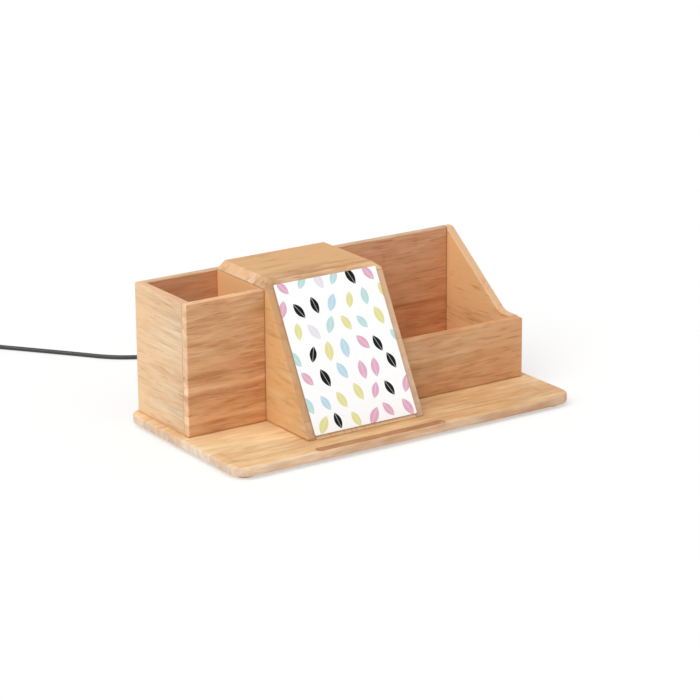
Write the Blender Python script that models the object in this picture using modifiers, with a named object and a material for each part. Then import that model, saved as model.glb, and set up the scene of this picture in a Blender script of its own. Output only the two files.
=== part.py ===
"""A bamboo desk organiser with a wireless charging slope, a pen box, a tray and a plug-in lead.

Units are metres. +Z is up, +X runs along the organiser's length and -Y faces the user.
The origin is on the desk, under the middle of the base board."""

import math

import bmesh
import bpy
import numpy as np
from mathutils import Matrix, Vector

# Gaps and overruns
FIT_GAP = 0.0003
WELD_DISTANCE = 0.00001
CUT_OVERRUN = 0.001

# Base board
BASE_WIDTH = 0.2600
BASE_DEPTH = 0.1375
BASE_THICKNESS = 0.0062
BASE_CORNER_RADIUS = 0.0120
BASE_ARRIS = 0.0015

# Groove that a phone's lower edge stands in
GROOVE_LENGTH = 0.0985
GROOVE_WIDTH = 0.0064
GROOVE_DEPTH = 0.0040
GROOVE_LIP = 0.0009
GROOVE_SIDE_SHIFT = 0.0006
GROOVE_CORNER_RADIUS = 0.0028

# Feet
FOOT_RADIUS = 0.0060
FOOT_HEIGHT = 0.0020
FOOT_INSET = 0.0060

# Upright boards, and the base's ledges outside them
WALL_THICKNESS = 0.0058
WALL_ARRIS = 0.0007
LEFT_LEDGE = 0.0059
RIGHT_LEDGE = 0.0065
BACK_LEDGE = 0.0054

# Pen box
PEN_BOX_WIDTH = 0.0580
PEN_BOX_DEPTH = 0.0580

# Housing of the charger, with its slope
HOUSING_WIDTH = 0.0884
HOUSING_FOOT_DEPTH = 0.1071
HOUSING_TOP_THICKNESS = 0.0055
HOUSING_BEVEL_WIDTH = 0.0059
HOUSING_BEVEL_DROP = 0.0045
HOUSING_ARRIS = 0.0003

# Printed panel on the slope, with the wood that shows round it
PANEL_LENGTH = 0.0992
PANEL_THICKNESS = 0.0009
PANEL_SIDE_MARGIN = 0.0052
PANEL_FOOT_MARGIN = 0.0027
PANEL_HEAD_MARGIN = 0.0035
PANEL_CORNER_RADIUS = 0.0008
PANEL_ARRIS = 0.0002

# Tray
TRAY_DEPTH = 0.0780
TRAY_FRONT_HEIGHT = 0.0417
TRAY_FLAT_LENGTH = 0.0185
TRAY_TOP_FLAT = 0.0047
TRAY_TOP_RADIUS = 0.0040
TRAY_FILLET_RADIUS = 0.0120
TRAY_FRONT_RADIUS = 0.0022

# Charging coil behind the slope
COIL_OUTER_RADIUS = 0.0250
COIL_INNER_RADIUS = 0.0100
COIL_THICKNESS = 0.0018
COIL_ABOVE_MIDDLE = 0.0071
SHIELD_THICKNESS = 0.0010
POCKET_MARGIN = 0.0035
CARRIER_MARGIN = 0.0050
CARRIER_SIDE_CLEARANCE = 0.00575
CARRIER_THICKNESS = 0.0018
CARRIER_CORNER_RADIUS = 0.0030
CARRIER_SCREW_INSET = 0.0045
CARRIER_SCREW_LENGTH = 0.0052
NOTCH_MARGIN = 0.0012

# Wires from the coil to the circuit board
WIRE_RADIUS = 0.00045
WIRE_SPACING = 0.0060
WIRE_STRAIGHT = 0.0120
WIRE_REACH = 0.0200
WIRE_RISE = 0.0080
WIRE_PAD_INSET = 0.0030

# Circuit board and what stands on it
BOARD_WIDTH = 0.0560
BOARD_DEPTH = 0.0340
BOARD_THICKNESS = 0.0016
BOARD_SETBACK = 0.0012
BOARD_HOLE_INSET = 0.0045
STANDOFF_RADIUS = 0.0030
STANDOFF_HEIGHT = 0.0040
BOARD_SCREW_LENGTH = 0.0048
CONTROLLER_SIZE = 0.0070
CONTROLLER_HEIGHT = 0.0010
DRIVER_WIDTH = 0.0050
DRIVER_DEPTH = 0.0060
DRIVER_HEIGHT = 0.0015
INDUCTOR_RADIUS = 0.0045
INDUCTOR_WAIST_RADIUS = 0.0033
INDUCTOR_FLANGE = 0.0010
INDUCTOR_HEIGHT = 0.0048
CAPACITOR_RADIUS = 0.0031
CAPACITOR_HEIGHT = 0.0070
CAPACITOR_ARRIS = 0.0004
CONTROLLER_PLACE_SHARES = (0.10, -0.10)
INDUCTOR_PLACE_SHARES = (-0.42, 0.20)
DRIVER_PLACE_SHARES = ((0.50, 0.35), (0.50, -0.25))
CAPACITOR_PLACE_SHARES = ((-0.20, -0.45), (0.42, -0.72))

# Screws
SCREW_HEAD_RADIUS = 0.0024
SCREW_HEAD_HEIGHT = 0.0015
SCREW_SHANK_RADIUS = 0.0012

# Power socket, and the plug that goes into it
TIP_WIDTH = 0.00825
TIP_HEIGHT = 0.00240
TIP_LENGTH = 0.00650
TIP_WALL = 0.00035
SOCKET_WALL = 0.00040
TONGUE_WIDTH = 0.00670
TONGUE_HEIGHT = 0.00070
TONGUE_LENGTH = 0.00500
TONGUE_ROOT = 0.00100
PLUG_WIDTH = 0.01220
PLUG_HEIGHT = 0.00660
PLUG_LENGTH = 0.01950
PLUG_CORNER_RADIUS = 0.00240
PLUG_ARRIS = 0.00060
PORT_CLEARANCE = 0.00060
STADIUM_SHARE = 0.48

# Strain reliefs at both ends of the lead
RELIEF_LENGTH = 0.0105
RELIEF_BASE_RADIUS = 0.0029
RELIEF_END_RADIUS = 0.0019
RELIEF_RIB_DEPTH = 0.0005
RELIEF_RIBS = 4

# Plug at the far end of the lead
FAR_BODY_WIDTH = 0.0155
FAR_BODY_HEIGHT = 0.0080
FAR_BODY_LENGTH = 0.0240
FAR_BODY_CORNER_RADIUS = 0.0016
FAR_SHELL_WIDTH = 0.0120
FAR_SHELL_HEIGHT = 0.0045
FAR_SHELL_LENGTH = 0.0120
FAR_SHELL_WALL = 0.0004
FAR_SHELL_CORNER_RADIUS = 0.0006
FAR_TONGUE_HEIGHT = 0.0018
FAR_TONGUE_SETBACK = 0.0010

# Cord, and the coil that its spare length is wound in
CORD_RADIUS = 0.0015
CORD_STEP = 0.0065
CORD_STRAIGHT = 0.0045
WINDING_OUTER_RADIUS = 0.0228
WINDING_PITCH = 0.0036
WINDING_LAYER = 0.0036
WINDING_TURNS = 7.25
WINDING_POINTS = 24
WINDING_TAIL = 0.0180
WINDING_TAIL_STEPS = 6
TIE_THICKNESS = 0.0005
TIE_WIDTH = 0.0050
TIE_CORNER_RADIUS = 0.0016
TIE_TURN_SHARE = 0.60

# Where the cord lies after it leaves its strain relief, in metres from the origin
CORD_ROUTE = (
    (-0.0220, 0.0985, 0.0165),
    (-0.0221, 0.1048, 0.0141),
    (-0.0224, 0.1110, 0.0102),
    (-0.0228, 0.1172, 0.0063),
    (-0.0235, 0.1244, 0.0033),
    (-0.0246, 0.1324, 0.0018),
    (-0.0264, 0.1422, 0.0015),
    (-0.0325, 0.1573, 0.0015),
    (-0.0419, 0.1707, 0.0015),
    (-0.0490, 0.1778, 0.0015),
    (-0.0564, 0.1836, 0.0015),
    (-0.0662, 0.1901, 0.0015),
    (-0.0758, 0.1994, 0.0015),
    (-0.0828, 0.2084, 0.0015),
    (-0.0896, 0.2172, 0.0015),
    (-0.0965, 0.2259, 0.0015),
    (-0.1043, 0.2357, 0.0015),
    (-0.1138, 0.2476, 0.0015),
    (-0.1234, 0.2593, 0.0016),
    (-0.1316, 0.2692, 0.0021),
    (-0.1361, 0.2748, 0.0023),
    (-0.1381, 0.2772, 0.0023),
)

# Counts of steps round arcs and turned shapes
CORNER_STEPS = 5
FINE_STEPS = 3
DISC_SIDES = 48
SMALL_SIDES = 16
WIRE_STEPS = 12

# How steeply the slope rises from the base board
SLOPE_ANGLE = math.radians(61.75)

# Directions in which a flat outline is stood up: across X, and across Y
ACROSS_X = (math.radians(90), 0, math.radians(90))
ACROSS_Y = (math.radians(90), 0, 0)

# Sizes, levels and faces that several pieces share
SLOPE_LENGTH = PANEL_FOOT_MARGIN + PANEL_LENGTH + PANEL_HEAD_MARGIN
HOUSING_HEIGHT = SLOPE_LENGTH * math.sin(SLOPE_ANGLE)
WALL_HEIGHT = HOUSING_HEIGHT - HOUSING_TOP_THICKNESS
BASE_BOTTOM = FOOT_HEIGHT + FIT_GAP
BASE_TOP = BASE_BOTTOM + BASE_THICKNESS
SEAT = BASE_TOP + FIT_GAP
WALL_TOP = BASE_TOP + WALL_HEIGHT
BACK_OUTER = BASE_DEPTH / 2 - BACK_LEDGE
BACK_INNER = BACK_OUTER - WALL_THICKNESS
LEFT_OUTER = LEFT_LEDGE - BASE_WIDTH / 2
RIGHT_OUTER = BASE_WIDTH / 2 - RIGHT_LEDGE
HOUSING_LEFT = LEFT_OUTER + PEN_BOX_WIDTH
HOUSING_RIGHT = HOUSING_LEFT + HOUSING_WIDTH
HOUSING_MIDDLE = (HOUSING_LEFT + HOUSING_RIGHT) / 2
HOUSING_TOP = BASE_TOP + HOUSING_HEIGHT
SIDE_TOP = HOUSING_TOP - HOUSING_TOP_THICKNESS - FIT_GAP
SLOPE_FOOT = BACK_INNER - HOUSING_FOOT_DEPTH
PANEL_WIDTH = HOUSING_WIDTH - 2 * PANEL_SIDE_MARGIN
TRAY_FRONT = BACK_INNER - TRAY_DEPTH
POCKET_RADIUS = COIL_OUTER_RADIUS + POCKET_MARGIN
POCKET_DEPTH = COIL_THICKNESS + SHIELD_THICKNESS + 2 * FIT_GAP
COIL_ALONG_SLOPE = PANEL_FOOT_MARGIN + PANEL_LENGTH / 2 + COIL_ABOVE_MIDDLE
CARRIER_HALF_LENGTH = POCKET_RADIUS + CARRIER_MARGIN
CARRIER_HALF_WIDTH = HOUSING_WIDTH / 2 - WALL_THICKNESS - CARRIER_SIDE_CLEARANCE
SCREW_HOLE_RADIUS = SCREW_SHANK_RADIUS + FIT_GAP
BOARD_TOP = SEAT + STANDOFF_HEIGHT + FIT_GAP + BOARD_THICKNESS
BOARD_BACK = BACK_INNER - FIT_GAP - BOARD_SETBACK
SOCKET_MOUTH = BACK_INNER - FIT_GAP
SOCKET_WIDTH = TIP_WIDTH + 2 * (FIT_GAP + SOCKET_WALL)
SOCKET_HEIGHT = TIP_HEIGHT + 2 * (FIT_GAP + SOCKET_WALL)
SOCKET_LENGTH = TIP_LENGTH + FIT_GAP + TONGUE_ROOT
SOCKET_LEVEL = BOARD_TOP + FIT_GAP + SOCKET_HEIGHT / 2
WIRE_RADIAL = COIL_OUTER_RADIUS + FIT_GAP + WIRE_RADIUS
WINDING_LEVEL = TIE_THICKNESS + FIT_GAP + CORD_RADIUS


def new_collection(name):
    """A collection under the scene's own."""
    collection = bpy.data.collections.new(name)
    bpy.context.scene.collection.children.link(collection)
    return collection


def new_material(name, colour, roughness, metallic=0.0):
    """A plain surface with one colour."""
    surface = bpy.data.materials.new(name)
    surface.use_nodes = True
    shader = surface.node_tree.nodes["Principled BSDF"]
    shader.inputs["Base Color"].default_value = (*colour, 1)
    shader.inputs["Roughness"].default_value = roughness
    shader.inputs["Metallic"].default_value = metallic
    return surface


def empty(name, location, rotation=(0, 0, 0)):
    """A frame that pieces are placed in."""
    frame = bpy.data.objects.new(name, None)
    frame.location = location
    frame.rotation_euler = rotation
    PARTS.objects.link(frame)
    return frame


def add(obj, surface, location=(0, 0, 0), rotation=(0, 0, 0), parent=None):
    """Puts a piece in the organiser's collection, in its place."""
    obj.data.materials.append(surface)
    obj.location = location
    obj.rotation_euler = rotation
    obj.parent = parent
    PARTS.objects.link(obj)
    return obj


def soften(obj, width, segments=2):
    """Rounds the piece's arrises."""
    bevel = obj.modifiers.new("arris", "BEVEL")
    bevel.width = width
    bevel.segments = segments
    bevel.limit_method = "ANGLE"
    bevel.angle_limit = math.radians(40)


def cut(obj, cutter, location=(0, 0, 0), rotation=(0, 0, 0), parent=None):
    """Takes the cutter's shape out of the piece."""
    cutter.location = location
    cutter.rotation_euler = rotation
    cutter.parent = parent
    cutter.hide_render = True
    cutter.display_type = "WIRE"
    CUTTERS.objects.link(cutter)
    boolean = obj.modifiers.new(cutter.name, "BOOLEAN")
    boolean.operation = "DIFFERENCE"
    boolean.solver = "EXACT"
    boolean.object = cutter


def box(name, size):
    """A cuboid about its own middle."""
    mesh = bpy.data.meshes.new(name)
    shape = bmesh.new()
    bmesh.ops.create_cube(shape, size=1)
    bmesh.ops.scale(shape, vec=Vector(size), verts=shape.verts)
    shape.to_mesh(mesh)
    shape.free()
    return bpy.data.objects.new(name, mesh)


def board(name, low, high, surface, arris=WALL_ARRIS, parent=None):
    """A straight board between two opposite corners."""
    low, high = Vector(low), Vector(high)
    obj = add(box(name, high - low), surface, (low + high) / 2, parent=parent)
    soften(obj, arris)
    return obj


def cylinder(name, radius, height, sides=SMALL_SIDES):
    """A round bar about its own middle, along Z."""
    mesh = bpy.data.meshes.new(name)
    shape = bmesh.new()
    bmesh.ops.create_cone(shape, cap_ends=True, segments=sides, radius1=radius, radius2=radius, depth=height)
    shape.to_mesh(mesh)
    shape.free()
    mesh.shade_smooth()
    mesh.set_sharp_from_angle(angle=math.radians(40))
    return bpy.data.objects.new(name, mesh)


def turned(name, profile, sides=SMALL_SIDES, closed=False):
    """A shape turned about Z from (radius, height) points that run down its outer side."""
    mesh = bpy.data.meshes.new(name)
    shape = bmesh.new()
    verts = [shape.verts.new((radius, 0, height)) for radius, height in profile]
    ends = verts[1:] + verts[:1] if closed else verts[1:]
    for start, end in zip(verts, ends):
        shape.edges.new((start, end))
    shape.to_mesh(mesh)
    shape.free()
    obj = bpy.data.objects.new(name, mesh)
    screw = obj.modifiers.new("turn", "SCREW")
    screw.steps = screw.render_steps = sides
    screw.use_merge_vertices = True
    screw.merge_threshold = WELD_DISTANCE
    screw.use_smooth_shade = True
    return obj


def rounded_outline(corners, radii, steps=CORNER_STEPS):
    """The closed outline through the corners, each rounded by its own radius."""
    outline = []
    for index, (corner, radius) in enumerate(zip(corners, radii)):
        corner = Vector(corner)
        if not radius:
            outline.append(corner)
            continue
        before = (Vector(corners[index - 1]) - corner).normalized()
        after = (Vector(corners[(index + 1) % len(corners)]) - corner).normalized()
        half_angle = before.angle(after) / 2
        centre = corner + (before + after).normalized() * radius / math.sin(half_angle)
        start = corner + before * radius / math.tan(half_angle) - centre
        end = corner + after * radius / math.tan(half_angle) - centre
        turn = math.atan2(start.x * end.y - start.y * end.x, start.dot(end))
        for step in range(steps + 1):
            outline.append(centre + Matrix.Rotation(turn * step / steps, 2) @ start)
    return outline


def rectangle(width, height, radius, steps=CORNER_STEPS):
    """A rounded rectangle about its own middle."""
    x, y = width / 2, height / 2
    corners = ((-x, -y), (x, -y), (x, y), (-x, y))
    return rounded_outline(corners, (radius,) * len(corners), steps)


def stadium(width, height):
    """A flat slot's outline, with nearly half-round ends."""
    return rectangle(width, height, height * STADIUM_SHARE, FINE_STEPS)


def as_mesh(source):
    """The curve as a mesh object, with its loose caps welded on."""
    bpy.context.scene.collection.objects.link(source)
    graph = bpy.context.evaluated_depsgraph_get()
    mesh = bpy.data.meshes.new_from_object(source.evaluated_get(graph), depsgraph=graph)
    shape = bmesh.new()
    shape.from_mesh(mesh)
    bmesh.ops.remove_doubles(shape, verts=shape.verts, dist=WELD_DISTANCE)
    bmesh.ops.dissolve_limit(shape, angle_limit=math.radians(1), verts=shape.verts, edges=shape.edges)
    bmesh.ops.recalc_face_normals(shape, faces=shape.faces)
    shape.to_mesh(mesh)
    shape.free()
    name, place = source.name, source.matrix_world.copy()
    bpy.data.objects.remove(source)
    obj = bpy.data.objects.new(name, mesh)
    obj.matrix_world = place
    return obj


def plate(name, outlines, thickness):
    """A flat plate: the first outline is its rim, and any others are its holes."""
    curve = bpy.data.curves.new(name, "CURVE")
    curve.dimensions = "2D"
    curve.fill_mode = "BOTH"
    curve.extrude = thickness / 2
    for outline in outlines:
        spline = curve.splines.new("POLY")
        spline.points.add(len(outline) - 1)
        for point, (x, y) in zip(spline.points, outline):
            point.co = (x, y, 0, 1)
        spline.use_cyclic_u = True
    return as_mesh(bpy.data.objects.new(name, curve))


def tube(name, points, radius, resolution):
    """A round tube along the points, with filled ends."""
    curve = bpy.data.curves.new(name, "CURVE")
    curve.dimensions = "3D"
    curve.bevel_depth = radius
    curve.bevel_resolution = resolution
    curve.use_fill_caps = True
    spline = curve.splines.new("POLY")
    spline.points.add(len(points) - 1)
    for point, place in zip(spline.points, points):
        point.co = (*place, 1)
    return bpy.data.objects.new(name, curve)


def slope_y(level):
    """Where the slope's face is, at a height above the desk."""
    return SLOPE_FOOT + (level - BASE_TOP) / math.tan(SLOPE_ANGLE)


def in_slope(x, along, out):
    """The world place of a point given across, up and out of the slope's face."""
    return SLOPE_FRAME.matrix_basis @ Vector((x, along, out))


def make_base():
    """The base board, with the groove that a phone stands in."""
    outline = rectangle(BASE_WIDTH, BASE_DEPTH, BASE_CORNER_RADIUS)
    base = add(plate("base_board", [outline], BASE_THICKNESS), BAMBOO, (0, 0, BASE_BOTTOM + BASE_THICKNESS / 2))
    soften(base, BASE_ARRIS, 3)
    height = GROOVE_DEPTH + CUT_OVERRUN
    groove = plate("groove_cutter", [rectangle(GROOVE_LENGTH, GROOVE_WIDTH, GROOVE_CORNER_RADIUS)], height)
    front = GROOVE_LIP - BASE_DEPTH / 2
    place = (HOUSING_MIDDLE + GROOVE_SIDE_SHIFT, front + GROOVE_WIDTH / 2, BASE_TOP - GROOVE_DEPTH + height / 2)
    cut(base, groove, place)


def make_feet():
    """Four pads under the base's corners."""
    x = BASE_WIDTH / 2 - FOOT_INSET - FOOT_RADIUS
    y = BASE_DEPTH / 2 - FOOT_INSET - FOOT_RADIUS
    for number, (across, deep) in enumerate(((-x, -y), (x, -y), (-x, y), (x, y)), 1):
        add(cylinder(f"foot_pad_{number}", FOOT_RADIUS, FOOT_HEIGHT, DISC_SIDES), RUBBER, (across, deep, FOOT_HEIGHT / 2))


def make_back_board():
    """The board behind all three bays, with the port for the plug."""
    low = (LEFT_OUTER + WALL_THICKNESS + FIT_GAP, BACK_INNER, SEAT)
    high = (RIGHT_OUTER - WALL_THICKNESS - FIT_GAP, BACK_OUTER, WALL_TOP)
    back = board("back_board", low, high, BAMBOO)
    width, height = PLUG_WIDTH + 2 * PORT_CLEARANCE, PLUG_HEIGHT + 2 * PORT_CLEARANCE
    outline = rectangle(width, height, PLUG_CORNER_RADIUS + PORT_CLEARANCE, FINE_STEPS)
    port = plate("port_cutter", [outline], WALL_THICKNESS + 2 * CUT_OVERRUN)
    cut(back, port, (HOUSING_MIDDLE, (BACK_INNER + BACK_OUTER) / 2, SOCKET_LEVEL), ACROSS_Y)


def make_pen_box():
    """The pen box's front wall, and the outer wall behind it."""
    front = BACK_INNER - PEN_BOX_DEPTH
    behind = front + WALL_THICKNESS
    board("pen_box_front_wall", (LEFT_OUTER, front, SEAT), (HOUSING_LEFT - FIT_GAP, behind, WALL_TOP), BAMBOO)
    high = (LEFT_OUTER + WALL_THICKNESS, BACK_OUTER, WALL_TOP)
    board("pen_box_left_wall", (LEFT_OUTER, behind + FIT_GAP, SEAT), high, BAMBOO)


def make_housing_sides():
    """The two side boards, whose front edges follow the slope."""
    back = BACK_INNER - FIT_GAP
    corners = [(slope_y(SEAT), SEAT), (back, SEAT), (back, SIDE_TOP), (slope_y(SIDE_TOP), SIDE_TOP)]
    middles = {"left": HOUSING_LEFT + WALL_THICKNESS / 2, "right": HOUSING_RIGHT - WALL_THICKNESS / 2}
    for side, x in middles.items():
        outline = [Vector(corner) for corner in corners]
        obj = add(plate(f"housing_{side}_side", [outline], WALL_THICKNESS), BAMBOO, (x, 0, 0), ACROSS_X)
        soften(obj, HOUSING_ARRIS)


def make_housing_top():
    """The top board, with its long edges bevelled and its front edge cut to the slope."""
    half, high = HOUSING_WIDTH / 2, HOUSING_TOP_THICKNESS
    inner, edge = half - HOUSING_BEVEL_WIDTH, high - HOUSING_BEVEL_DROP
    outline = [(-half, 0), (half, 0), (half, edge), (inner, high), (-inner, high), (-half, edge)]
    underside = HOUSING_TOP - high
    front, back = slope_y(underside) - CUT_OVERRUN, BACK_INNER - FIT_GAP
    place = (HOUSING_MIDDLE, (front + back) / 2, underside)
    top = add(plate("housing_top_board", [outline], back - front), BAMBOO, place, ACROSS_Y)
    length = 4 * WALL_THICKNESS
    cutter = box("slope_cutter", (HOUSING_WIDTH + 2 * CUT_OVERRUN, length, length))
    cut(top, cutter, (0, SLOPE_LENGTH, length / 2), parent=SLOPE_FRAME)
    soften(top, HOUSING_ARRIS)


def make_slope_board():
    """The sloping board between the sides, milled behind for the charging coil."""
    run = WALL_THICKNESS / math.sin(SLOPE_ANGLE)
    low, high = slope_y(SEAT), slope_y(SIDE_TOP)
    outline = [(low, SEAT), (low + run, SEAT), (high + run, SIDE_TOP), (high, SIDE_TOP)]
    width = HOUSING_WIDTH - 2 * (WALL_THICKNESS + FIT_GAP)
    slope = add(plate("slope_board", [outline], width), BAMBOO, (HOUSING_MIDDLE, 0, 0), ACROSS_X)
    depth = POCKET_DEPTH + CUT_OVERRUN
    pocket = cylinder("pocket_cutter", POCKET_RADIUS, depth, DISC_SIDES)
    cut(slope, pocket, (0, COIL_ALONG_SLOPE, POCKET_DEPTH - WALL_THICKNESS - depth / 2), parent=SLOPE_FRAME)
    depth = CARRIER_SCREW_LENGTH - CARRIER_THICKNESS - FIT_GAP + CUT_OVERRUN
    for number, (x, along) in enumerate(carrier_screw_places(), 1):
        pilot = cylinder(f"pilot_cutter_{number}", SCREW_HOLE_RADIUS, depth)
        cut(slope, pilot, (x, along, depth / 2 - WALL_THICKNESS - CUT_OVERRUN), parent=SLOPE_FRAME)


def make_panel():
    """The white printed panel on the slope."""
    outline = rectangle(PANEL_WIDTH, PANEL_LENGTH, PANEL_CORNER_RADIUS, FINE_STEPS)
    place = (0, PANEL_FOOT_MARGIN + PANEL_LENGTH / 2, FIT_GAP + PANEL_THICKNESS / 2)
    panel = add(plate("print_panel", [outline], PANEL_THICKNESS), WHITE_PANEL, place, parent=SLOPE_FRAME)
    soften(panel, PANEL_ARRIS)


def make_tray():
    """The tray's front panel, and its right side, which sweeps down to the panel's back."""
    low_top = BASE_TOP + TRAY_FRONT_HEIGHT
    start = HOUSING_RIGHT + FIT_GAP
    corners = ((start, SEAT), (RIGHT_OUTER, SEAT), (RIGHT_OUTER, low_top), (start, low_top))
    outline = rounded_outline(corners, (0, 0, TRAY_FRONT_RADIUS, 0))
    place = (0, TRAY_FRONT + WALL_THICKNESS / 2, 0)
    panel = add(plate("tray_front_panel", [outline], WALL_THICKNESS), BAMBOO, place, ACROSS_Y)
    soften(panel, WALL_ARRIS)
    side_front = TRAY_FRONT + WALL_THICKNESS + FIT_GAP
    corners = (
        (side_front, SEAT),
        (BACK_OUTER, SEAT),
        (BACK_OUTER, WALL_TOP),
        (BACK_OUTER - TRAY_TOP_FLAT, WALL_TOP),
        (TRAY_FRONT + TRAY_FLAT_LENGTH, low_top),
        (side_front, low_top),
    )
    radii = (0, 0, 0, TRAY_TOP_RADIUS, TRAY_FILLET_RADIUS, 0)
    outline = rounded_outline(corners, radii)
    place = (RIGHT_OUTER - WALL_THICKNESS / 2, 0, 0)
    side = add(plate("tray_right_side", [outline], WALL_THICKNESS), BAMBOO, place, ACROSS_X)
    soften(side, WALL_ARRIS)


def carrier_screw_places():
    """Where the carrier's screws stand, across and up the slope."""
    x = CARRIER_HALF_WIDTH - CARRIER_SCREW_INSET
    y = CARRIER_HALF_LENGTH - CARRIER_SCREW_INSET
    return [(across, COIL_ALONG_SLOPE + along) for across in (-x, x) for along in (-y, y)]


def make_charging_coil():
    """The flat coil and its ferrite shield, in the slope board's pocket."""
    coil_face = POCKET_DEPTH - WALL_THICKNESS - FIT_GAP
    coil_back = coil_face - COIL_THICKNESS
    inner, outer = COIL_INNER_RADIUS, COIL_OUTER_RADIUS
    half = COIL_THICKNESS / 2
    profile = ((inner, half), (outer, half), (outer, -half), (inner, -half))
    coil = turned("charging_coil", profile, DISC_SIDES, closed=True)
    add(coil, COPPER, (0, COIL_ALONG_SLOPE, coil_face - half), parent=SLOPE_FRAME)
    shield = cylinder("ferrite_shield", outer, SHIELD_THICKNESS, DISC_SIDES)
    add(shield, FERRITE, (0, COIL_ALONG_SLOPE, coil_back - FIT_GAP - SHIELD_THICKNESS / 2), parent=SLOPE_FRAME)


def make_carrier():
    """The plate that holds the coil in its pocket, with its screws and a notch for the wires."""
    x, y = CARRIER_HALF_WIDTH, CARRIER_HALF_LENGTH
    notch_x = WIRE_SPACING / 2 + WIRE_RADIUS + NOTCH_MARGIN
    notch_y = WIRE_RADIUS + NOTCH_MARGIN - WIRE_RADIAL
    corners = ((-x, -y), (-notch_x, -y), (-notch_x, notch_y), (notch_x, notch_y))
    corners += ((notch_x, -y), (x, -y), (x, y), (-x, y))
    radius = CARRIER_CORNER_RADIUS
    outline = rounded_outline(corners, (radius, 0, 0, 0, 0, radius, radius, radius), FINE_STEPS)
    face = -WALL_THICKNESS - FIT_GAP
    place = (0, COIL_ALONG_SLOPE, face - CARRIER_THICKNESS / 2)
    carrier = add(plate("coil_carrier", [outline], CARRIER_THICKNESS), WHITE_PLASTIC, place, parent=SLOPE_FRAME)
    depth = CARRIER_THICKNESS + 2 * CUT_OVERRUN
    seat = face - CARRIER_THICKNESS - FIT_GAP
    for number, (x, along) in enumerate(carrier_screw_places(), 1):
        hole = cylinder(f"carrier_hole_cutter_{number}", SCREW_HOLE_RADIUS, depth)
        cut(carrier, hole, (x, along, place[2]), parent=SLOPE_FRAME)
        screw = screw_shape(f"carrier_screw_{number}", CARRIER_SCREW_LENGTH)
        add(screw, STEEL, (x, along, seat), (math.radians(180), 0, 0), SLOPE_FRAME)


def screw_shape(name, length):
    """A cheese-head screw, seated at its own origin with the shank below."""
    profile = (
        (0, SCREW_HEAD_HEIGHT),
        (SCREW_HEAD_RADIUS, SCREW_HEAD_HEIGHT),
        (SCREW_HEAD_RADIUS, 0),
        (SCREW_SHANK_RADIUS, 0),
        (SCREW_SHANK_RADIUS, -length),
        (0, -length),
    )
    return turned(name, profile)


def make_circuit_board():
    """The circuit board on its four standoffs, with its screws."""
    middle = (HOUSING_MIDDLE, BOARD_BACK - BOARD_DEPTH / 2, BOARD_TOP - BOARD_THICKNESS / 2)
    circuit = add(box("circuit_board", (BOARD_WIDTH, BOARD_DEPTH, BOARD_THICKNESS)), BOARD_GREEN, middle)
    x, y = BOARD_WIDTH / 2 - BOARD_HOLE_INSET, BOARD_DEPTH / 2 - BOARD_HOLE_INSET
    bore, rim = SCREW_HOLE_RADIUS, STANDOFF_RADIUS
    profile = ((bore, STANDOFF_HEIGHT), (rim, STANDOFF_HEIGHT), (rim, 0), (bore, 0))
    for number, (across, deep) in enumerate(((-x, -y), (x, -y), (-x, y), (x, y)), 1):
        place = (middle[0] + across, middle[1] + deep)
        add(turned(f"board_standoff_{number}", profile, closed=True), BRASS, (*place, SEAT))
        hole = cylinder(f"board_hole_cutter_{number}", bore, BOARD_THICKNESS + 2 * CUT_OVERRUN)
        cut(circuit, hole, (*place, middle[2]))
        add(screw_shape(f"board_screw_{number}", BOARD_SCREW_LENGTH), STEEL, (*place, BOARD_TOP + FIT_GAP))


def on_board(shares):
    """A place on the circuit board, from its middle, as shares of its half sizes."""
    x = HOUSING_MIDDLE + shares[0] * BOARD_WIDTH / 2
    y = BOARD_BACK - BOARD_DEPTH / 2 + shares[1] * BOARD_DEPTH / 2
    return x, y, BOARD_TOP + FIT_GAP


def make_board_parts():
    """The controller, drivers, inductor and capacitors."""
    x, y, z = on_board(CONTROLLER_PLACE_SHARES)
    controller = box("controller_chip", (CONTROLLER_SIZE, CONTROLLER_SIZE, CONTROLLER_HEIGHT))
    add(controller, CHIP_BLACK, (x, y, z + CONTROLLER_HEIGHT / 2))
    for number, shares in enumerate(DRIVER_PLACE_SHARES, 1):
        x, y, z = on_board(shares)
        driver = box(f"driver_chip_{number}", (DRIVER_WIDTH, DRIVER_DEPTH, DRIVER_HEIGHT))
        add(driver, CHIP_BLACK, (x, y, z + DRIVER_HEIGHT / 2))
    rim, waist, flange, height = INDUCTOR_RADIUS, INDUCTOR_WAIST_RADIUS, INDUCTOR_FLANGE, INDUCTOR_HEIGHT
    profile = ((0, height), (rim, height), (rim, height - flange), (waist, height - flange))
    profile += ((waist, flange), (rim, flange), (rim, 0), (0, 0))
    add(turned("power_inductor", profile), FERRITE, on_board(INDUCTOR_PLACE_SHARES))
    radius, height, arris = CAPACITOR_RADIUS, CAPACITOR_HEIGHT, CAPACITOR_ARRIS
    profile = ((0, height), (radius - arris, height), (radius, height - arris), (radius, 0), (0, 0))
    for number, shares in enumerate(CAPACITOR_PLACE_SHARES, 1):
        add(turned(f"filter_capacitor_{number}", profile), STEEL, on_board(shares))


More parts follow.
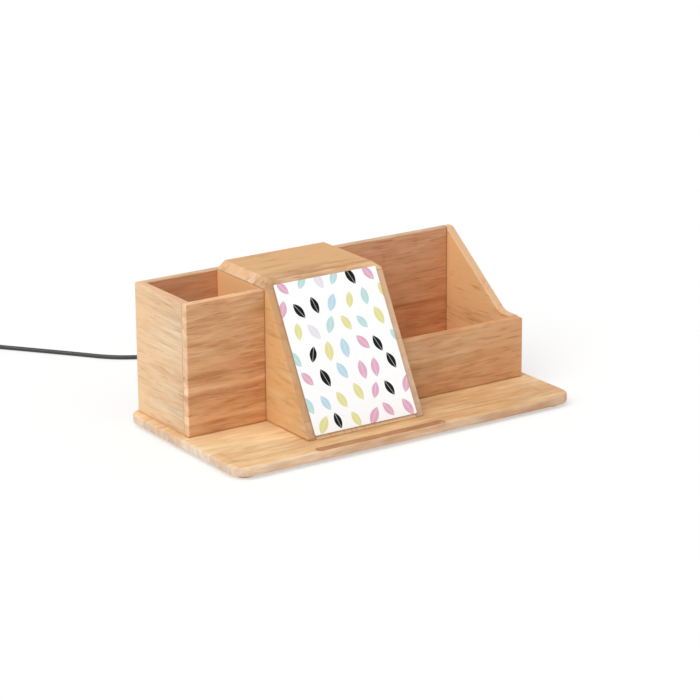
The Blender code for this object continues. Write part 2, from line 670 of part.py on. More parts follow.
def make_power_socket():
    """The metal shell of the power socket and the tongue inside it."""
    middle = SOCKET_MOUTH - SOCKET_LENGTH / 2
    hole = stadium(SOCKET_WIDTH - 2 * SOCKET_WALL, SOCKET_HEIGHT - 2 * SOCKET_WALL)
    shell = plate("socket_shell", [stadium(SOCKET_WIDTH, SOCKET_HEIGHT), hole], SOCKET_LENGTH)
    add(shell, STEEL, (HOUSING_MIDDLE, middle, SOCKET_LEVEL), ACROSS_Y)
    rear = SOCKET_MOUTH - SOCKET_LENGTH
    root, tongue = TIP_HEIGHT / 2, TONGUE_HEIGHT / 2
    joint, end = rear + TONGUE_ROOT, rear + TONGUE_ROOT + TONGUE_LENGTH
    outline = ((rear, -root), (joint, -root), (joint, -tongue), (end, -tongue))
    outline += ((end, tongue), (joint, tongue), (joint, root), (rear, root))
    insert = plate("socket_tongue", [outline], TONGUE_WIDTH)
    add(insert, CHIP_BLACK, (HOUSING_MIDDLE, 0, SOCKET_LEVEL), ACROSS_X)


def make_coil_wires():
    """Two wires from the coil's rim, through the carrier's notch, down to the circuit board."""
    start = POCKET_DEPTH - WALL_THICKNESS - FIT_GAP
    inward = in_slope(0, 0, -1) - in_slope(0, 0, 0)
    upward = Vector((0, 0, 1))
    for number, side in enumerate((-1, 1), 1):
        x = side * WIRE_SPACING / 2
        rim = in_slope(x, COIL_ALONG_SLOPE - math.sqrt(WIRE_RADIAL ** 2 - x ** 2), start)
        bend = rim + inward * WIRE_STRAIGHT
        front = BOARD_BACK - BOARD_DEPTH + WIRE_PAD_INSET
        pad = Vector((HOUSING_MIDDLE + x, front, BOARD_TOP + FIT_GAP))
        points = [rim] + bezier(bend, bend + inward * WIRE_REACH, pad + upward * WIRE_RISE, pad, WIRE_STEPS)
        add(tube(f"coil_wire_{number}", points, WIRE_RADIUS, 1), COPPER)


def bezier(start, leaving, arriving, end, steps):
    """Points along one cubic curve between its two ends."""
    points = []
    for step in range(steps + 1):
        share = step / steps
        rest = 1 - share
        inner = 3 * rest ** 2 * share * leaving + 3 * rest * share ** 2 * arriving
        points.append(rest ** 3 * start + inner + share ** 3 * end)
    return points


def relief_shape(name):
    """A ribbed boot along +Z, wide end down."""
    profile = [(0, RELIEF_LENGTH), (RELIEF_END_RADIUS, RELIEF_LENGTH)]
    pitch = RELIEF_LENGTH / (RELIEF_RIBS + 1)
    for rib in range(RELIEF_RIBS, 0, -1):
        radius = RELIEF_BASE_RADIUS + (RELIEF_END_RADIUS - RELIEF_BASE_RADIUS) * rib / (RELIEF_RIBS + 1)
        top, low = (rib + 1 / 3) * pitch, (rib - 1 / 3) * pitch
        profile += [(radius, top), (radius - RELIEF_RIB_DEPTH, top)]
        profile += [(radius - RELIEF_RIB_DEPTH, low), (radius, low)]
    profile += [(RELIEF_BASE_RADIUS, 0), (0, 0)]
    return turned(name, profile)


def make_lead_plug():
    """The near plug: the tip in the socket, its moulded body in the port, and its relief."""
    tip = plate("lead_plug_tip", tip_outlines(), TIP_LENGTH)
    add(tip, STEEL, (0, TIP_LENGTH / 2 + FIT_GAP, 0), ACROSS_Y, PLUG_FRAME)
    outline = rectangle(PLUG_WIDTH, PLUG_HEIGHT, PLUG_CORNER_RADIUS)
    body = add(plate("lead_plug_body", [outline], PLUG_LENGTH), CORD_BLACK, (0, -PLUG_LENGTH / 2, 0), ACROSS_Y, PLUG_FRAME)
    soften(body, PLUG_ARRIS)
    relief = relief_shape("lead_plug_relief")
    add(relief, CORD_BLACK, (0, -PLUG_LENGTH - FIT_GAP, 0), ACROSS_Y, PLUG_FRAME)


def tip_outlines():
    """The outer and inner outlines of the near plug's hollow tip."""
    return [stadium(TIP_WIDTH, TIP_HEIGHT), stadium(TIP_WIDTH - 2 * TIP_WALL, TIP_HEIGHT - 2 * TIP_WALL)]


def smooth_curve(points, spacing):
    """Evenly spaced points on a cubic spline through the given ones."""
    points = np.array(points)
    steps = np.linalg.norm(np.diff(points, axis=0), axis=1)
    matrix = np.eye(len(points))
    right = np.zeros_like(points)
    slopes = np.diff(points, axis=0) / steps[:, None]
    for index in range(1, len(points) - 1):
        matrix[index, index - 1 : index + 2] = steps[index - 1], 2 * (steps[index - 1] + steps[index]), steps[index]
        right[index] = 6 * (slopes[index] - slopes[index - 1])
    bends = np.linalg.solve(matrix, right)
    fine = []
    for index, step in enumerate(steps):
        for share in np.linspace(0, 1, 20, endpoint=False):
            rest = 1 - share
            bulge = (rest ** 3 - rest) * bends[index] + (share ** 3 - share) * bends[index + 1]
            fine.append(rest * points[index] + share * points[index + 1] + bulge * step ** 2 / 6)
    fine = np.array(fine + [points[-1]])
    run = np.concatenate([[0], np.cumsum(np.linalg.norm(np.diff(fine, axis=0), axis=1))])
    stops = np.linspace(0, run[-1], max(2, round(run[-1] / spacing)) + 1)
    return np.stack([np.interp(stops, run, fine[:, axis]) for axis in range(3)], axis=1)


def make_cord():
    """The cord from the relief to where its coil begins. Returns its points."""
    leaving = PLUG_FRAME.location.copy()
    leaving.y += PLUG_LENGTH + RELIEF_LENGTH + 2 * FIT_GAP
    straight = leaving + Vector((0, CORD_STRAIGHT, 0))
    points = smooth_curve([leaving, straight, *CORD_ROUTE], CORD_STEP)
    points[:, 2] = np.maximum(points[:, 2], CORD_RADIUS)
    add_to_lead(tube("lead_cord", points, CORD_RADIUS, 2), CORD_BLACK)
    return points


def add_to_lead(obj, surface, location=(0, 0, 0), rotation=(0, 0, 0)):
    """Adds a piece of the lead, placed in the world but carried by the plug's frame."""
    add(obj, surface, location, rotation, PLUG_FRAME)
    obj.matrix_parent_inverse = PLUG_FRAME.matrix_basis.inverted()
    return obj


def winding_points(start, heading):
    """The wound coil: in, then out a layer higher, and a tail that comes down to the far plug."""
    left = Vector((-heading.y, heading.x, 0))
    entry = start + heading * 2 * CORD_RADIUS
    centre = entry + left * WINDING_OUTER_RADIUS
    half = WINDING_TURNS / 2
    points = [start]
    for index in range(round(WINDING_TURNS * WINDING_POINTS) + 1):
        turn = index / WINDING_POINTS
        radius = WINDING_OUTER_RADIUS - WINDING_PITCH * (half - abs(half - turn))
        climb = min(max(turn - half + 1 / 4, 0), 1 / 2)
        level = WINDING_LAYER * (1 - math.cos(2 * math.pi * climb)) / 2
        angle = 2 * math.pi * turn
        spoke = heading * math.sin(angle) - left * math.cos(angle)
        points.append(centre + spoke * radius + Vector((0, 0, level)))
    angle = 2 * math.pi * WINDING_TURNS
    away = heading * math.cos(angle) + left * math.sin(angle)
    return points, centre, away


def tail_points(last, away):
    """The coil's tail, easing down to the far plug's height, with a straight end."""
    drop = last.z - FAR_BODY_HEIGHT / 2
    points = []
    for step in range(1, WINDING_TAIL_STEPS + 1):
        share = step / WINDING_TAIL_STEPS
        ease = (1 - math.cos(math.pi * share)) / 2
        points.append(last + away * WINDING_TAIL * share - Vector((0, 0, drop * ease)))
    points.append(points[-1] + away * 2 * CORD_RADIUS)
    return points


def least_gap(points, radius):
    """The least gap between a tube and itself, measured on its points a loop or so apart."""
    places = np.array(points)
    run = np.concatenate([[0], np.cumsum(np.linalg.norm(np.diff(places, axis=0), axis=1))])
    apart = np.linalg.norm(places[:, None] - places[None], axis=2)
    neighbours = np.abs(run[:, None] - run[None]) < 8 * radius
    return float(apart[~neighbours].min() - 2 * radius)


def make_winding(cord):
    """The coil of spare cord, its tie and the far plug."""
    end, before = Vector(cord[-1]), Vector(cord[-2])
    heading = Vector((end.x - before.x, end.y - before.y, 0)).normalized()
    start = end + heading * FIT_GAP
    start.z = WINDING_LEVEL
    points, centre, away = winding_points(start, heading)
    points += tail_points(points[-1], away)
    add_to_lead(tube("lead_coil", points, CORD_RADIUS, 1), CORD_BLACK)
    make_tie(points, centre, heading)
    make_far_plug(points[-1], away)
    loops = sum((b - a).length for a, b in zip(points, points[1:]))
    print(f"lead: {loops:.4f} m in the coil, least gap to itself {least_gap(points, CORD_RADIUS) * 1000:.2f} mm")
    free = np.linalg.norm(np.diff(cord, axis=0), axis=1).sum()
    print(f"lead: {free:.4f} m lies free, {free + loops:.4f} m in all, lowest point {min(p[2] for p in cord):.4f} m")


def make_tie(points, centre, heading):
    """The flat strap round the coil's bundle."""
    angle = math.atan2(heading.y, heading.x) + 2 * math.pi * TIE_TURN_SHARE
    spoke = Vector((math.cos(angle), math.sin(angle), 0))
    across = Vector((-spoke.y, spoke.x, 0))
    near = TIE_WIDTH + 2 * CORD_RADIUS
    offsets = [point - centre for point in points]
    radii = [offset.dot(spoke) for offset in offsets if offset.dot(spoke) > 0 and abs(offset.dot(across)) < near]
    wide = max(radii) - min(radii) + 2 * (CORD_RADIUS + FIT_GAP)
    high = WINDING_LAYER + 2 * (CORD_RADIUS + FIT_GAP)
    inner = rectangle(wide, high, TIE_CORNER_RADIUS - TIE_THICKNESS, FINE_STEPS)
    outer = rectangle(wide + 2 * TIE_THICKNESS, high + 2 * TIE_THICKNESS, TIE_CORNER_RADIUS, FINE_STEPS)
    place = centre + spoke * (max(radii) + min(radii)) / 2
    place.z = TIE_THICKNESS + high / 2
    add_to_lead(plate("cord_tie", [outer, inner], TIE_WIDTH), TIE_GREY, place, (math.radians(90), 0, angle))


def make_far_plug(end, away):
    """The far plug: relief, moulded body, metal shell and the tongue inside it."""
    turn = math.atan2(-away.x, away.y)
    joint = end + away * FIT_GAP

    def place(reach):
        return joint + away * reach

    def put(obj, surface, reach, rise=0, rotation=ACROSS_Y):
        where = place(reach) + Vector((0, 0, rise))
        return add_to_lead(obj, surface, where, (rotation[0], 0, turn))

    reach = RELIEF_LENGTH
    put(relief_shape("far_plug_relief"), CORD_BLACK, reach)
    reach += FIT_GAP
    outline = rectangle(FAR_BODY_WIDTH, FAR_BODY_HEIGHT, FAR_BODY_CORNER_RADIUS, FINE_STEPS)
    body = put(plate("far_plug_body", [outline], FAR_BODY_LENGTH), CORD_BLACK, reach + FAR_BODY_LENGTH / 2)
    soften(body, PLUG_ARRIS)
    reach += FAR_BODY_LENGTH + FIT_GAP
    wide, high = FAR_SHELL_WIDTH - 2 * FAR_SHELL_WALL, FAR_SHELL_HEIGHT - 2 * FAR_SHELL_WALL
    outer = rectangle(FAR_SHELL_WIDTH, FAR_SHELL_HEIGHT, FAR_SHELL_CORNER_RADIUS, FINE_STEPS)
    inner = rectangle(wide, high, FAR_SHELL_CORNER_RADIUS - FAR_SHELL_WALL, FINE_STEPS)
    put(plate("far_plug_shell", [outer, inner], FAR_SHELL_LENGTH), STEEL, reach + FAR_SHELL_LENGTH / 2)
    length = FAR_SHELL_LENGTH - FAR_TONGUE_SETBACK
    tongue = box("far_plug_tongue", (wide - 2 * FIT_GAP, FAR_TONGUE_HEIGHT, length))
    put(tongue, WHITE_PLASTIC, reach + length / 2, (FAR_TONGUE_HEIGHT - high) / 2 + FIT_GAP)


for old in list(bpy.data.objects):
    bpy.data.objects.remove(old, do_unlink=True)

PARTS = new_collection("charging_organiser")
CUTTERS = new_collection("cutters")
CUTTERS.hide_render = True

BAMBOO = new_material("bamboo", (0.70, 0.41, 0.20), 0.45)
WHITE_PANEL = new_material("white_panel", (0.86, 0.87, 0.85), 0.30)
WHITE_PLASTIC = new_material("white_plastic", (0.75, 0.75, 0.72), 0.45)
RUBBER = new_material("rubber", (0.05, 0.05, 0.05), 0.80)
COPPER = new_material("copper", (0.72, 0.33, 0.15), 0.35, 1.0)
FERRITE = new_material("ferrite", (0.06, 0.06, 0.07), 0.60)
BOARD_GREEN = new_material("circuit_green", (0.02, 0.17, 0.07), 0.40)
CHIP_BLACK = new_material("chip_black", (0.03, 0.03, 0.03), 0.50)
BRASS = new_material("brass", (0.70, 0.48, 0.18), 0.35, 1.0)
STEEL = new_material("steel", (0.62, 0.62, 0.63), 0.30, 1.0)
CORD_BLACK = new_material("cord_black", (0.03, 0.032, 0.03), 0.50)
TIE_GREY = new_material("tie_grey", (0.10, 0.10, 0.10), 0.60)

SLOPE_FRAME = empty("slope_frame", (HOUSING_MIDDLE, SLOPE_FOOT, BASE_TOP), (SLOPE_ANGLE, 0, 0))
PLUG_FRAME = empty("plug_frame", (HOUSING_MIDDLE, BACK_INNER, SOCKET_LEVEL), (0, 0, math.radians(180)))

make_base()
make_feet()
make_back_board()
make_pen_box()
make_housing_sides()
make_housing_top()
make_slope_board()
make_panel()
make_tray()
make_charging_coil()
make_carrier()
make_circuit_board()
make_board_parts()
make_power_socket()
make_coil_wires()
make_lead_plug()
make_winding(make_cord())
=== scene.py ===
"""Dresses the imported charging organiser: its boards, its printed panel, its lead and the charger inside."""

import math

import bmesh
import bpy
from mathutils import Matrix, Vector


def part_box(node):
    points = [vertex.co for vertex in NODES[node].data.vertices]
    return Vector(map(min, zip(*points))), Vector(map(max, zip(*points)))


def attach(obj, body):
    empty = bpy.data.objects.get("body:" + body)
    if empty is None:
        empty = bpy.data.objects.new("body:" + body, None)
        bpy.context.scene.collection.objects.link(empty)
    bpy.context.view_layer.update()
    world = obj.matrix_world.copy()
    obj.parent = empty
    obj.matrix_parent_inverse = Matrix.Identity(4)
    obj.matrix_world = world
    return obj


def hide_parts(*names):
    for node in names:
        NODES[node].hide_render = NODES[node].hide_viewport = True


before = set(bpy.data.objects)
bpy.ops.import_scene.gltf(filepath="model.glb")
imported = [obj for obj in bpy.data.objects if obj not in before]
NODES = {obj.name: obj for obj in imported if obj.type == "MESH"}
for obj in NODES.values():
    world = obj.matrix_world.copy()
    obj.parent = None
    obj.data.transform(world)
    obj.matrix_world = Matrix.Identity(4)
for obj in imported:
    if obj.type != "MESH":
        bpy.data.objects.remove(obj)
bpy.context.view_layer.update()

# The photograph's camera: its place in metres, its angles in degrees, its lens and sensor in millimetres
CAMERA_PLACE = (-0.96802, -1.43813, 0.59342)
CAMERA_AZIMUTH = 33.907
CAMERA_ELEVATION = 17.581
CAMERA_ROLL = -0.336
CAMERA_LENS = 144.215
CAMERA_SENSOR = 36.0
CAMERA_NEAR = 0.05
CAMERA_FAR = 50.0

# The studio: where each lamp's light comes from, its spread in degrees and its strength
LEFT_LAMP = ((-1.3, -0.5, 1.5), 50, 0.52 * math.pi)
TOP_LAMP = ((0.1, -0.5, 2.0), 70, 0.12 * math.pi)
SKY_STRENGTH = 0.52
FLOOR_REACH = 12.0
FLOOR_GLOW_SHARE = 0.50
WHITE = (1, 1, 1, 1)

# The solids: how steep the slope is, and the gap that they leave between pieces that touch
SLOPE_ANGLE = math.radians(61.75)
FIT_GAP = 0.0003

# The joints' glue: how far it stays behind the boards' faces, and how far off the wood
GLUE_INSET = 0.00004
GLUE_SLACK = 0.00001

# The boards' seeds, and what their own colours are multiplied by where the wood is darkest, palest and so on
FIRST_BOARD_SEED = 3.7
BOARD_SEED_STEP = 11.3
DARKEST_TINT = (0.74, 0.62, 0.53, 1)
PALEST_TINT = (1.18, 1.28, 1.37, 1)
COOLEST_TINT = (1.02, 1.07, 1.13, 1)
WARMEST_TINT = (0.98, 0.87, 0.77, 1)

# The printed panel: the heights above the slope where its print begins and is full, below which its edges
# have painted shade, and the print's seed
PRINT_START = 0.00105
PRINT_FULL = 0.00112
PRINT_SEED = 30.0

# The print's inks, each with the chance from which it is used
INKS = (
    (0.00, (0.50, 0.72, 0.71)),
    (0.20, (0.78, 0.73, 0.32)),
    (0.40, (0.76, 0.42, 0.55)),
    (0.58, (0.003, 0.003, 0.003)),
    (0.78, (0.50, 0.70, 0.80)),
    (0.88, (0.76, 0.42, 0.55)),
    (0.94, (0.80, 0.77, 0.83)),
)

# The charging coil's wire
COIL_PITCH = 0.0010

# The lead: the cord, its wound coil and the tail to the far plug
CORD_DIAMETER = 0.0030
CORD_STRAIGHT = 0.0045
WINDING_OUTER_RADIUS = 0.0228
WINDING_PITCH = 0.0036
WINDING_LAYER = 0.0036
WINDING_LEVEL = 0.0023
WINDING_TURNS = 7.25
WINDING_POINTS = 24
WINDING_TAIL = 0.0180
WINDING_TAIL_STEPS = 6
FAR_PLUG_LEVEL = 0.0040

# Where the cord lies after it leaves its strain relief
CORD_ROUTE = (
    (-0.0220, 0.0985, 0.0165),
    (-0.0221, 0.1048, 0.0141),
    (-0.0224, 0.1110, 0.0102),
    (-0.0228, 0.1172, 0.0063),
    (-0.0235, 0.1244, 0.0033),
    (-0.0246, 0.1324, 0.0018),
    (-0.0264, 0.1422, 0.0015),
    (-0.0325, 0.1573, 0.0015),
    (-0.0419, 0.1707, 0.0015),
    (-0.0490, 0.1778, 0.0015),
    (-0.0564, 0.1836, 0.0015),
    (-0.0662, 0.1901, 0.0015),
    (-0.0758, 0.1994, 0.0015),
    (-0.0828, 0.2084, 0.0015),
    (-0.0896, 0.2172, 0.0015),
    (-0.0965, 0.2259, 0.0015),
    (-0.1043, 0.2357, 0.0015),
    (-0.1138, 0.2476, 0.0015),
    (-0.1234, 0.2593, 0.0016),
    (-0.1316, 0.2692, 0.0021),
    (-0.1361, 0.2748, 0.0023),
    (-0.1381, 0.2772, 0.0023),
)


def middle_of(node):
    """The middle of a CAD node's box."""
    low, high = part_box(node)
    return (low + high) / 2


def place_camera():
    """The camera, turned and placed as the photograph's was."""
    azimuth, elevation = math.radians(CAMERA_AZIMUTH), math.radians(CAMERA_ELEVATION)
    level = math.cos(elevation)
    back = Vector((-math.sin(azimuth) * level, -math.cos(azimuth) * level, math.sin(elevation)))
    right = Vector((math.cos(azimuth), -math.sin(azimuth), 0))
    up = back.cross(right)
    roll = math.radians(CAMERA_ROLL)
    right, up = right * math.cos(roll) + up * math.sin(roll), up * math.cos(roll) - right * math.sin(roll)
    data = bpy.data.cameras.new("camera")
    data.sensor_width = CAMERA_SENSOR
    data.lens = CAMERA_LENS
    data.clip_start = CAMERA_NEAR
    data.clip_end = CAMERA_FAR
    camera = bpy.data.objects.new("camera", data)
    turned = Matrix((right, up, back)).transposed().to_4x4()
    camera.matrix_world = Matrix.Translation(CAMERA_PLACE) @ turned
    bpy.context.scene.collection.objects.link(camera)
    bpy.context.scene.camera = camera


def cord_points():
    """The cord's line: its free route, then the coil, in and out again a layer higher, and the tail.
    Returns its points and the place where it leaves the strain relief."""
    low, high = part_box("lead_plug_relief")
    leaving = Vector(((low.x + high.x) / 2, high.y + FIT_GAP, (low.z + high.z) / 2))
    free = [leaving, leaving + Vector((0, CORD_STRAIGHT, 0)), *(Vector(point) for point in CORD_ROUTE)]

    # The coil starts along the route's last heading and winds to the left, inwards and then outwards again
    heading = free[-1] - free[-2]
    heading = Vector((heading.x, heading.y, 0)).normalized()
    left = Vector((-heading.y, heading.x, 0))
    start = Vector((free[-1].x, free[-1].y, WINDING_LEVEL)) + heading * FIT_GAP
    centre = start + heading * CORD_DIAMETER + left * WINDING_OUTER_RADIUS
    half = WINDING_TURNS / 2
    coil = []
    for index in range(round(WINDING_TURNS * WINDING_POINTS) + 1):
        turn = index / WINDING_POINTS
        radius = WINDING_OUTER_RADIUS - WINDING_PITCH * (half - abs(half - turn))
        climb = min(max(turn - half + 1 / 4, 0), 1 / 2)
        level = WINDING_LAYER * (1 - math.cos(2 * math.pi * climb)) / 2
        angle = 2 * math.pi * turn
        spoke = heading * math.sin(angle) - left * math.cos(angle)
        coil.append(centre + spoke * radius + Vector((0, 0, level)))

    # The tail leaves the coil straight and comes down to the far plug's level
    angle = 2 * math.pi * WINDING_TURNS
    away = heading * math.cos(angle) + left * math.sin(angle)
    last = coil[-1]
    drop = last.z - FAR_PLUG_LEVEL
    for step in range(1, WINDING_TAIL_STEPS + 1):
        share = step / WINDING_TAIL_STEPS
        ease = (1 - math.cos(math.pi * share)) / 2
        coil.append(last + away * WINDING_TAIL * share - Vector((0, 0, drop * ease)))
    coil.append(coil[-1] + away * CORD_DIAMETER)
    return free + coil, leaving


def smooth_tube(name, points, radius, resolution=4, sides=5):
    """A round tube on a smooth curve through the points."""
    curve = bpy.data.curves.new(name, "CURVE")
    curve.dimensions = "3D"
    curve.resolution_u = resolution
    curve.bevel_depth = radius
    curve.bevel_resolution = sides
    curve.use_fill_caps = True
    spline = curve.splines.new("BEZIER")
    spline.bezier_points.add(len(points) - 1)
    for knot, place in zip(spline.bezier_points, points):
        knot.co = place
        knot.handle_left_type = knot.handle_right_type = "AUTO"
    tube = bpy.data.objects.new(name, curve)
    bpy.context.scene.collection.objects.link(tube)
    return tube


def wrap_mesh(name, shape):
    """A bmesh of flat faces made into an object in the scene."""
    mesh = bpy.data.meshes.new(name)
    bmesh.ops.recalc_face_normals(shape, faces=shape.faces)
    shape.to_mesh(mesh)
    shape.free()
    obj = bpy.data.objects.new(name, mesh)
    bpy.context.scene.collection.objects.link(obj)
    return obj


def finish_piece(piece, body, surface, slot, *stands_for):
    """Gives a piece its material and the body that it moves with, and hides the nodes that it stands for."""
    piece.data.materials.clear()
    piece.data.materials.append(surface)
    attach(piece, body)
    if stands_for:
        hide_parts(*stands_for)


def add_node(tree, kind, inputs=None, **settings):
    """A shader node with its settings, and with values or links on its inputs."""
    node = tree.nodes.new(kind)
    for name, value in settings.items():
        setattr(node, name, value)
    for key, value in (inputs or {}).items():
        if isinstance(value, bpy.types.NodeSocket):
            tree.links.new(value, node.inputs[key])
        else:
            node.inputs[key].default_value = value
    return node


def calc(tree, operation, *values, clamp=False):
    """A sum worked out by a Math node."""
    node = add_node(tree, "ShaderNodeMath", dict(enumerate(values)), operation=operation, use_clamp=clamp)
    return node.outputs[0]


def sway(tree, cloudy, strength, base, clamp=False):
    """A value moved up or down by how far a cloudy one is from a half."""
    return calc(tree, "MULTIPLY_ADD", calc(tree, "SUBTRACT", cloudy, 0.5), strength, base, clamp=clamp)


def dim(tree, colour, brightness):
    """A colour made darker or brighter as a whole."""
    inputs = {0: colour, "Scale": brightness}
    return add_node(tree, "ShaderNodeVectorMath", inputs, operation="SCALE").outputs[0]


def join_axes(tree, x, y, z):
    """A vector from three values."""
    return add_node(tree, "ShaderNodeCombineXYZ", {0: x, 1: y, 2: z}).outputs[0]


def split_axes(tree, vector):
    """The three values of a vector."""
    return add_node(tree, "ShaderNodeSeparateXYZ", {0: vector}).outputs


def stretched(tree, along, across, through, slow, fast):
    """A place drawn out along the grain: few changes that way and many across it."""
    return join_axes(tree, calc(tree, "MULTIPLY", along, slow), calc(tree, "MULTIPLY", across, fast),
                     calc(tree, "MULTIPLY", through, fast))


def soft_step(tree, value, low, high):
    """0 below low and 1 above high, with a smooth rise between them."""
    inputs = {"Value": value, "From Min": low, "From Max": high}
    return add_node(tree, "ShaderNodeMapRange", inputs, interpolation_type="SMOOTHSTEP").outputs[0]


def noise(tree, vector, scale, detail=2.0, roughness=0.5):
    """A cloudy value near one half."""
    inputs = {"Vector": vector, "Scale": scale, "Detail": detail, "Roughness": roughness}
    return add_node(tree, "ShaderNodeTexNoise", inputs).outputs[0]


def blend_colours(tree, share, first, second, mode="MIX"):
    """One colour laid over another by a share."""
    inputs = {0: share, 6: first, 7: second}
    limits = {"clamp_factor": True, "clamp_result": mode == "MULTIPLY"}
    return add_node(tree, "ShaderNodeMix", inputs, data_type="RGBA", blend_type=mode, **limits).outputs[2]


def fill_ramp(ramp, stops):
    """Gives a colour ramp its stops, each a position and a colour."""
    elements = ramp.color_ramp.elements
    while len(elements) < len(stops):
        elements.new(1.0)
    for element, (position, colour) in zip(elements, stops):
        element.position = position
        element.color = colour


# The kinds of a group's sockets, and what a group for a whole surface puts out
COLOUR, VALUE, VECTOR = "NodeSocketColor", "NodeSocketFloat", "NodeSocketVector"
SURFACE_OUTPUTS = [("Colour", COLOUR), ("Roughness", VALUE), ("Height", VALUE)]


def new_group(name, inputs, outputs):
    """A shader node group with named sockets. Returns it with its inputs' and outputs' sockets."""
    group = bpy.data.node_groups.new(name, "ShaderNodeTree")
    for label, kind, value in inputs:
        socket = group.interface.new_socket(label, in_out="INPUT", socket_type=kind)
        socket.default_value = value
    for label, kind in outputs:
        group.interface.new_socket(label, in_out="OUTPUT", socket_type=kind)
    return group, group.nodes.new("NodeGroupInput").outputs, group.nodes.new("NodeGroupOutput").inputs


def use_group(tree, group, inputs):
    """A node that holds the group, with its own values."""
    return add_node(tree, "ShaderNodeGroup", inputs, node_tree=group)


def bamboo_group():
    """Laminated bamboo: strips of unlike tone glued side by side, with streaks, dashes, fibres and nodes."""
    group, given, result = new_group(
        "laminated_bamboo",
        [
            ("Place", VECTOR, (0, 0, 0)),
            ("Facing", VECTOR, (0, 0, 1)),
            ("Face Colour", COLOUR, (0.72, 0.42, 0.2, 1)),
            ("Rim Colour", COLOUR, (0.76, 0.48, 0.3, 1)),
            ("End Colour", COLOUR, (0.76, 0.48, 0.3, 1)),
            ("Tone", VALUE, 0.5),
            ("Warmth", VALUE, 0.3),
            ("Strip Width", VALUE, 0.0095),
            ("Strip Contrast", VALUE, 0.25),
            ("Streak Contrast", VALUE, 1.0),
            ("Cloud Contrast", VALUE, 0.8),
            ("Dash Contrast", VALUE, 0.5),
            ("Seed", VALUE, 0.0),
        ],
        SURFACE_OUTPUTS,
    )
    along, across, through = split_axes(group, given["Place"])
    seed = given["Seed"]

    def grain(along_it, across_it, slow, fast, detail=2.0, roughness=0.5):
        """A cloudy value drawn out along the grain."""
        drawn_out = stretched(group, along_it, across_it, through, slow, fast)
        return noise(group, drawn_out, 1.0, detail, roughness)

    # Strips side by side, each with its own tone, its own shift along the grain and its own mark
    wander = noise(group, join_axes(group, along, seed, 0.0), 9.0)
    rows = calc(group, "DIVIDE", across, given["Strip Width"])
    rows = calc(group, "ADD", rows, calc(group, "MULTIPLY_ADD", wander, 0.10, seed))
    strip = calc(group, "ADD", calc(group, "FLOOR", rows), seed)
    pick = add_node(group, "ShaderNodeTexWhiteNoise", {"W": strip}, noise_dimensions="1D")
    tone, shift, mark = split_axes(group, pick.outputs["Color"])
    inside = calc(group, "FRACT", rows)
    side = calc(group, "MINIMUM", inside, calc(group, "SUBTRACT", 1.0, inside))
    seam = calc(group, "SUBTRACT", 1.0, soft_step(group, side, 0.0, 0.04))

    # Clouds, streaks, dashes and fibres, which follow the grain's slight waves
    moved = calc(group, "ADD", calc(group, "MULTIPLY_ADD", shift, 0.7, along), seed)
    waver = grain(calc(group, "ADD", along, seed), across, 18.0, 50.0)
    waved = sway(group, waver, 0.0045, across)
    cloud = grain(moved, waved, 40.0, 170.0)
    streak = grain(moved, waved, 44.0, 520.0, 3.0, 0.60)
    dash = grain(moved, waved, 62.0, 620.0, 1.5)
    fibre = grain(moved, across, 160.0, 3000.0)
    glow = grain(moved, waved, 24.0, 120.0)

    # Which way the wood faces: the streaks are calmer on the ends of the boards
    end_way, rim_way, _ = split_axes(group, given["Facing"])
    rim = soft_step(group, calc(group, "ABSOLUTE", rim_way), 0.30, 0.85)
    end = soft_step(group, calc(group, "ABSOLUTE", end_way), 0.30, 0.85)
    calm = calc(group, "MULTIPLY_ADD", end, -0.60, 1.0)

    # From the darkest tone to the palest, as one share
    share = given["Tone"]
    for part, contrast in (
        (tone, given["Strip Contrast"]),
        (cloud, given["Cloud Contrast"]),
        (streak, calc(group, "MULTIPLY", given["Streak Contrast"], calm)),
        (fibre, calc(group, "MULTIPLY", calm, 0.30)),
    ):
        share = sway(group, part, contrast, share)
    lens = calc(group, "MULTIPLY", soft_step(group, dash, 0.56, 0.68), given["Dash Contrast"])
    lens = calc(group, "MULTIPLY", lens, calm)
    share = calc(group, "SUBTRACT", calc(group, "ADD", share, 0.03), lens)

    # The culm's nodes, thin dark bars across a few of the strips, and the seams between strips
    steps = calc(group, "MULTIPLY_ADD", moved, 4.2, calc(group, "MULTIPLY", mark, 5.0))
    reach = calc(group, "ABSOLUTE", calc(group, "SUBTRACT", calc(group, "FRACT", steps), 0.5))
    reach = sway(group, streak, 0.03, reach)
    knot = calc(group, "SUBTRACT", 1.0, soft_step(group, reach, 0.002, 0.010))
    knot = calc(group, "MULTIPLY", knot, soft_step(group, mark, 0.70, 0.90))
    share = calc(group, "MULTIPLY_ADD", knot, -0.16, share)
    share = calc(group, "MULTIPLY_ADD", seam, -0.12, share, clamp=True)

    # The board's own colours, tinted from dark to pale and from cool to warm
    ground = blend_colours(group, rim, given["Face Colour"], given["Rim Colour"])
    ground = blend_colours(group, end, ground, given["End Colour"])
    shade = blend_colours(group, share, DARKEST_TINT, PALEST_TINT)
    warm_share = sway(group, glow, 2.2, given["Warmth"], clamp=True)
    warmth = blend_colours(group, warm_share, COOLEST_TINT, WARMEST_TINT)
    shaded = blend_colours(group, 1.0, ground, shade, "MULTIPLY")
    group.links.new(blend_colours(group, 1.0, shaded, warmth, "MULTIPLY"), result["Colour"])
    group.links.new(calc(group, "MULTIPLY_ADD", streak, -0.22, 0.62), result["Roughness"])
    grooves = calc(group, "MULTIPLY_ADD", seam, -0.5, streak)
    group.links.new(calc(group, "MULTIPLY_ADD", fibre, 0.5, grooves), result["Height"])
    return group


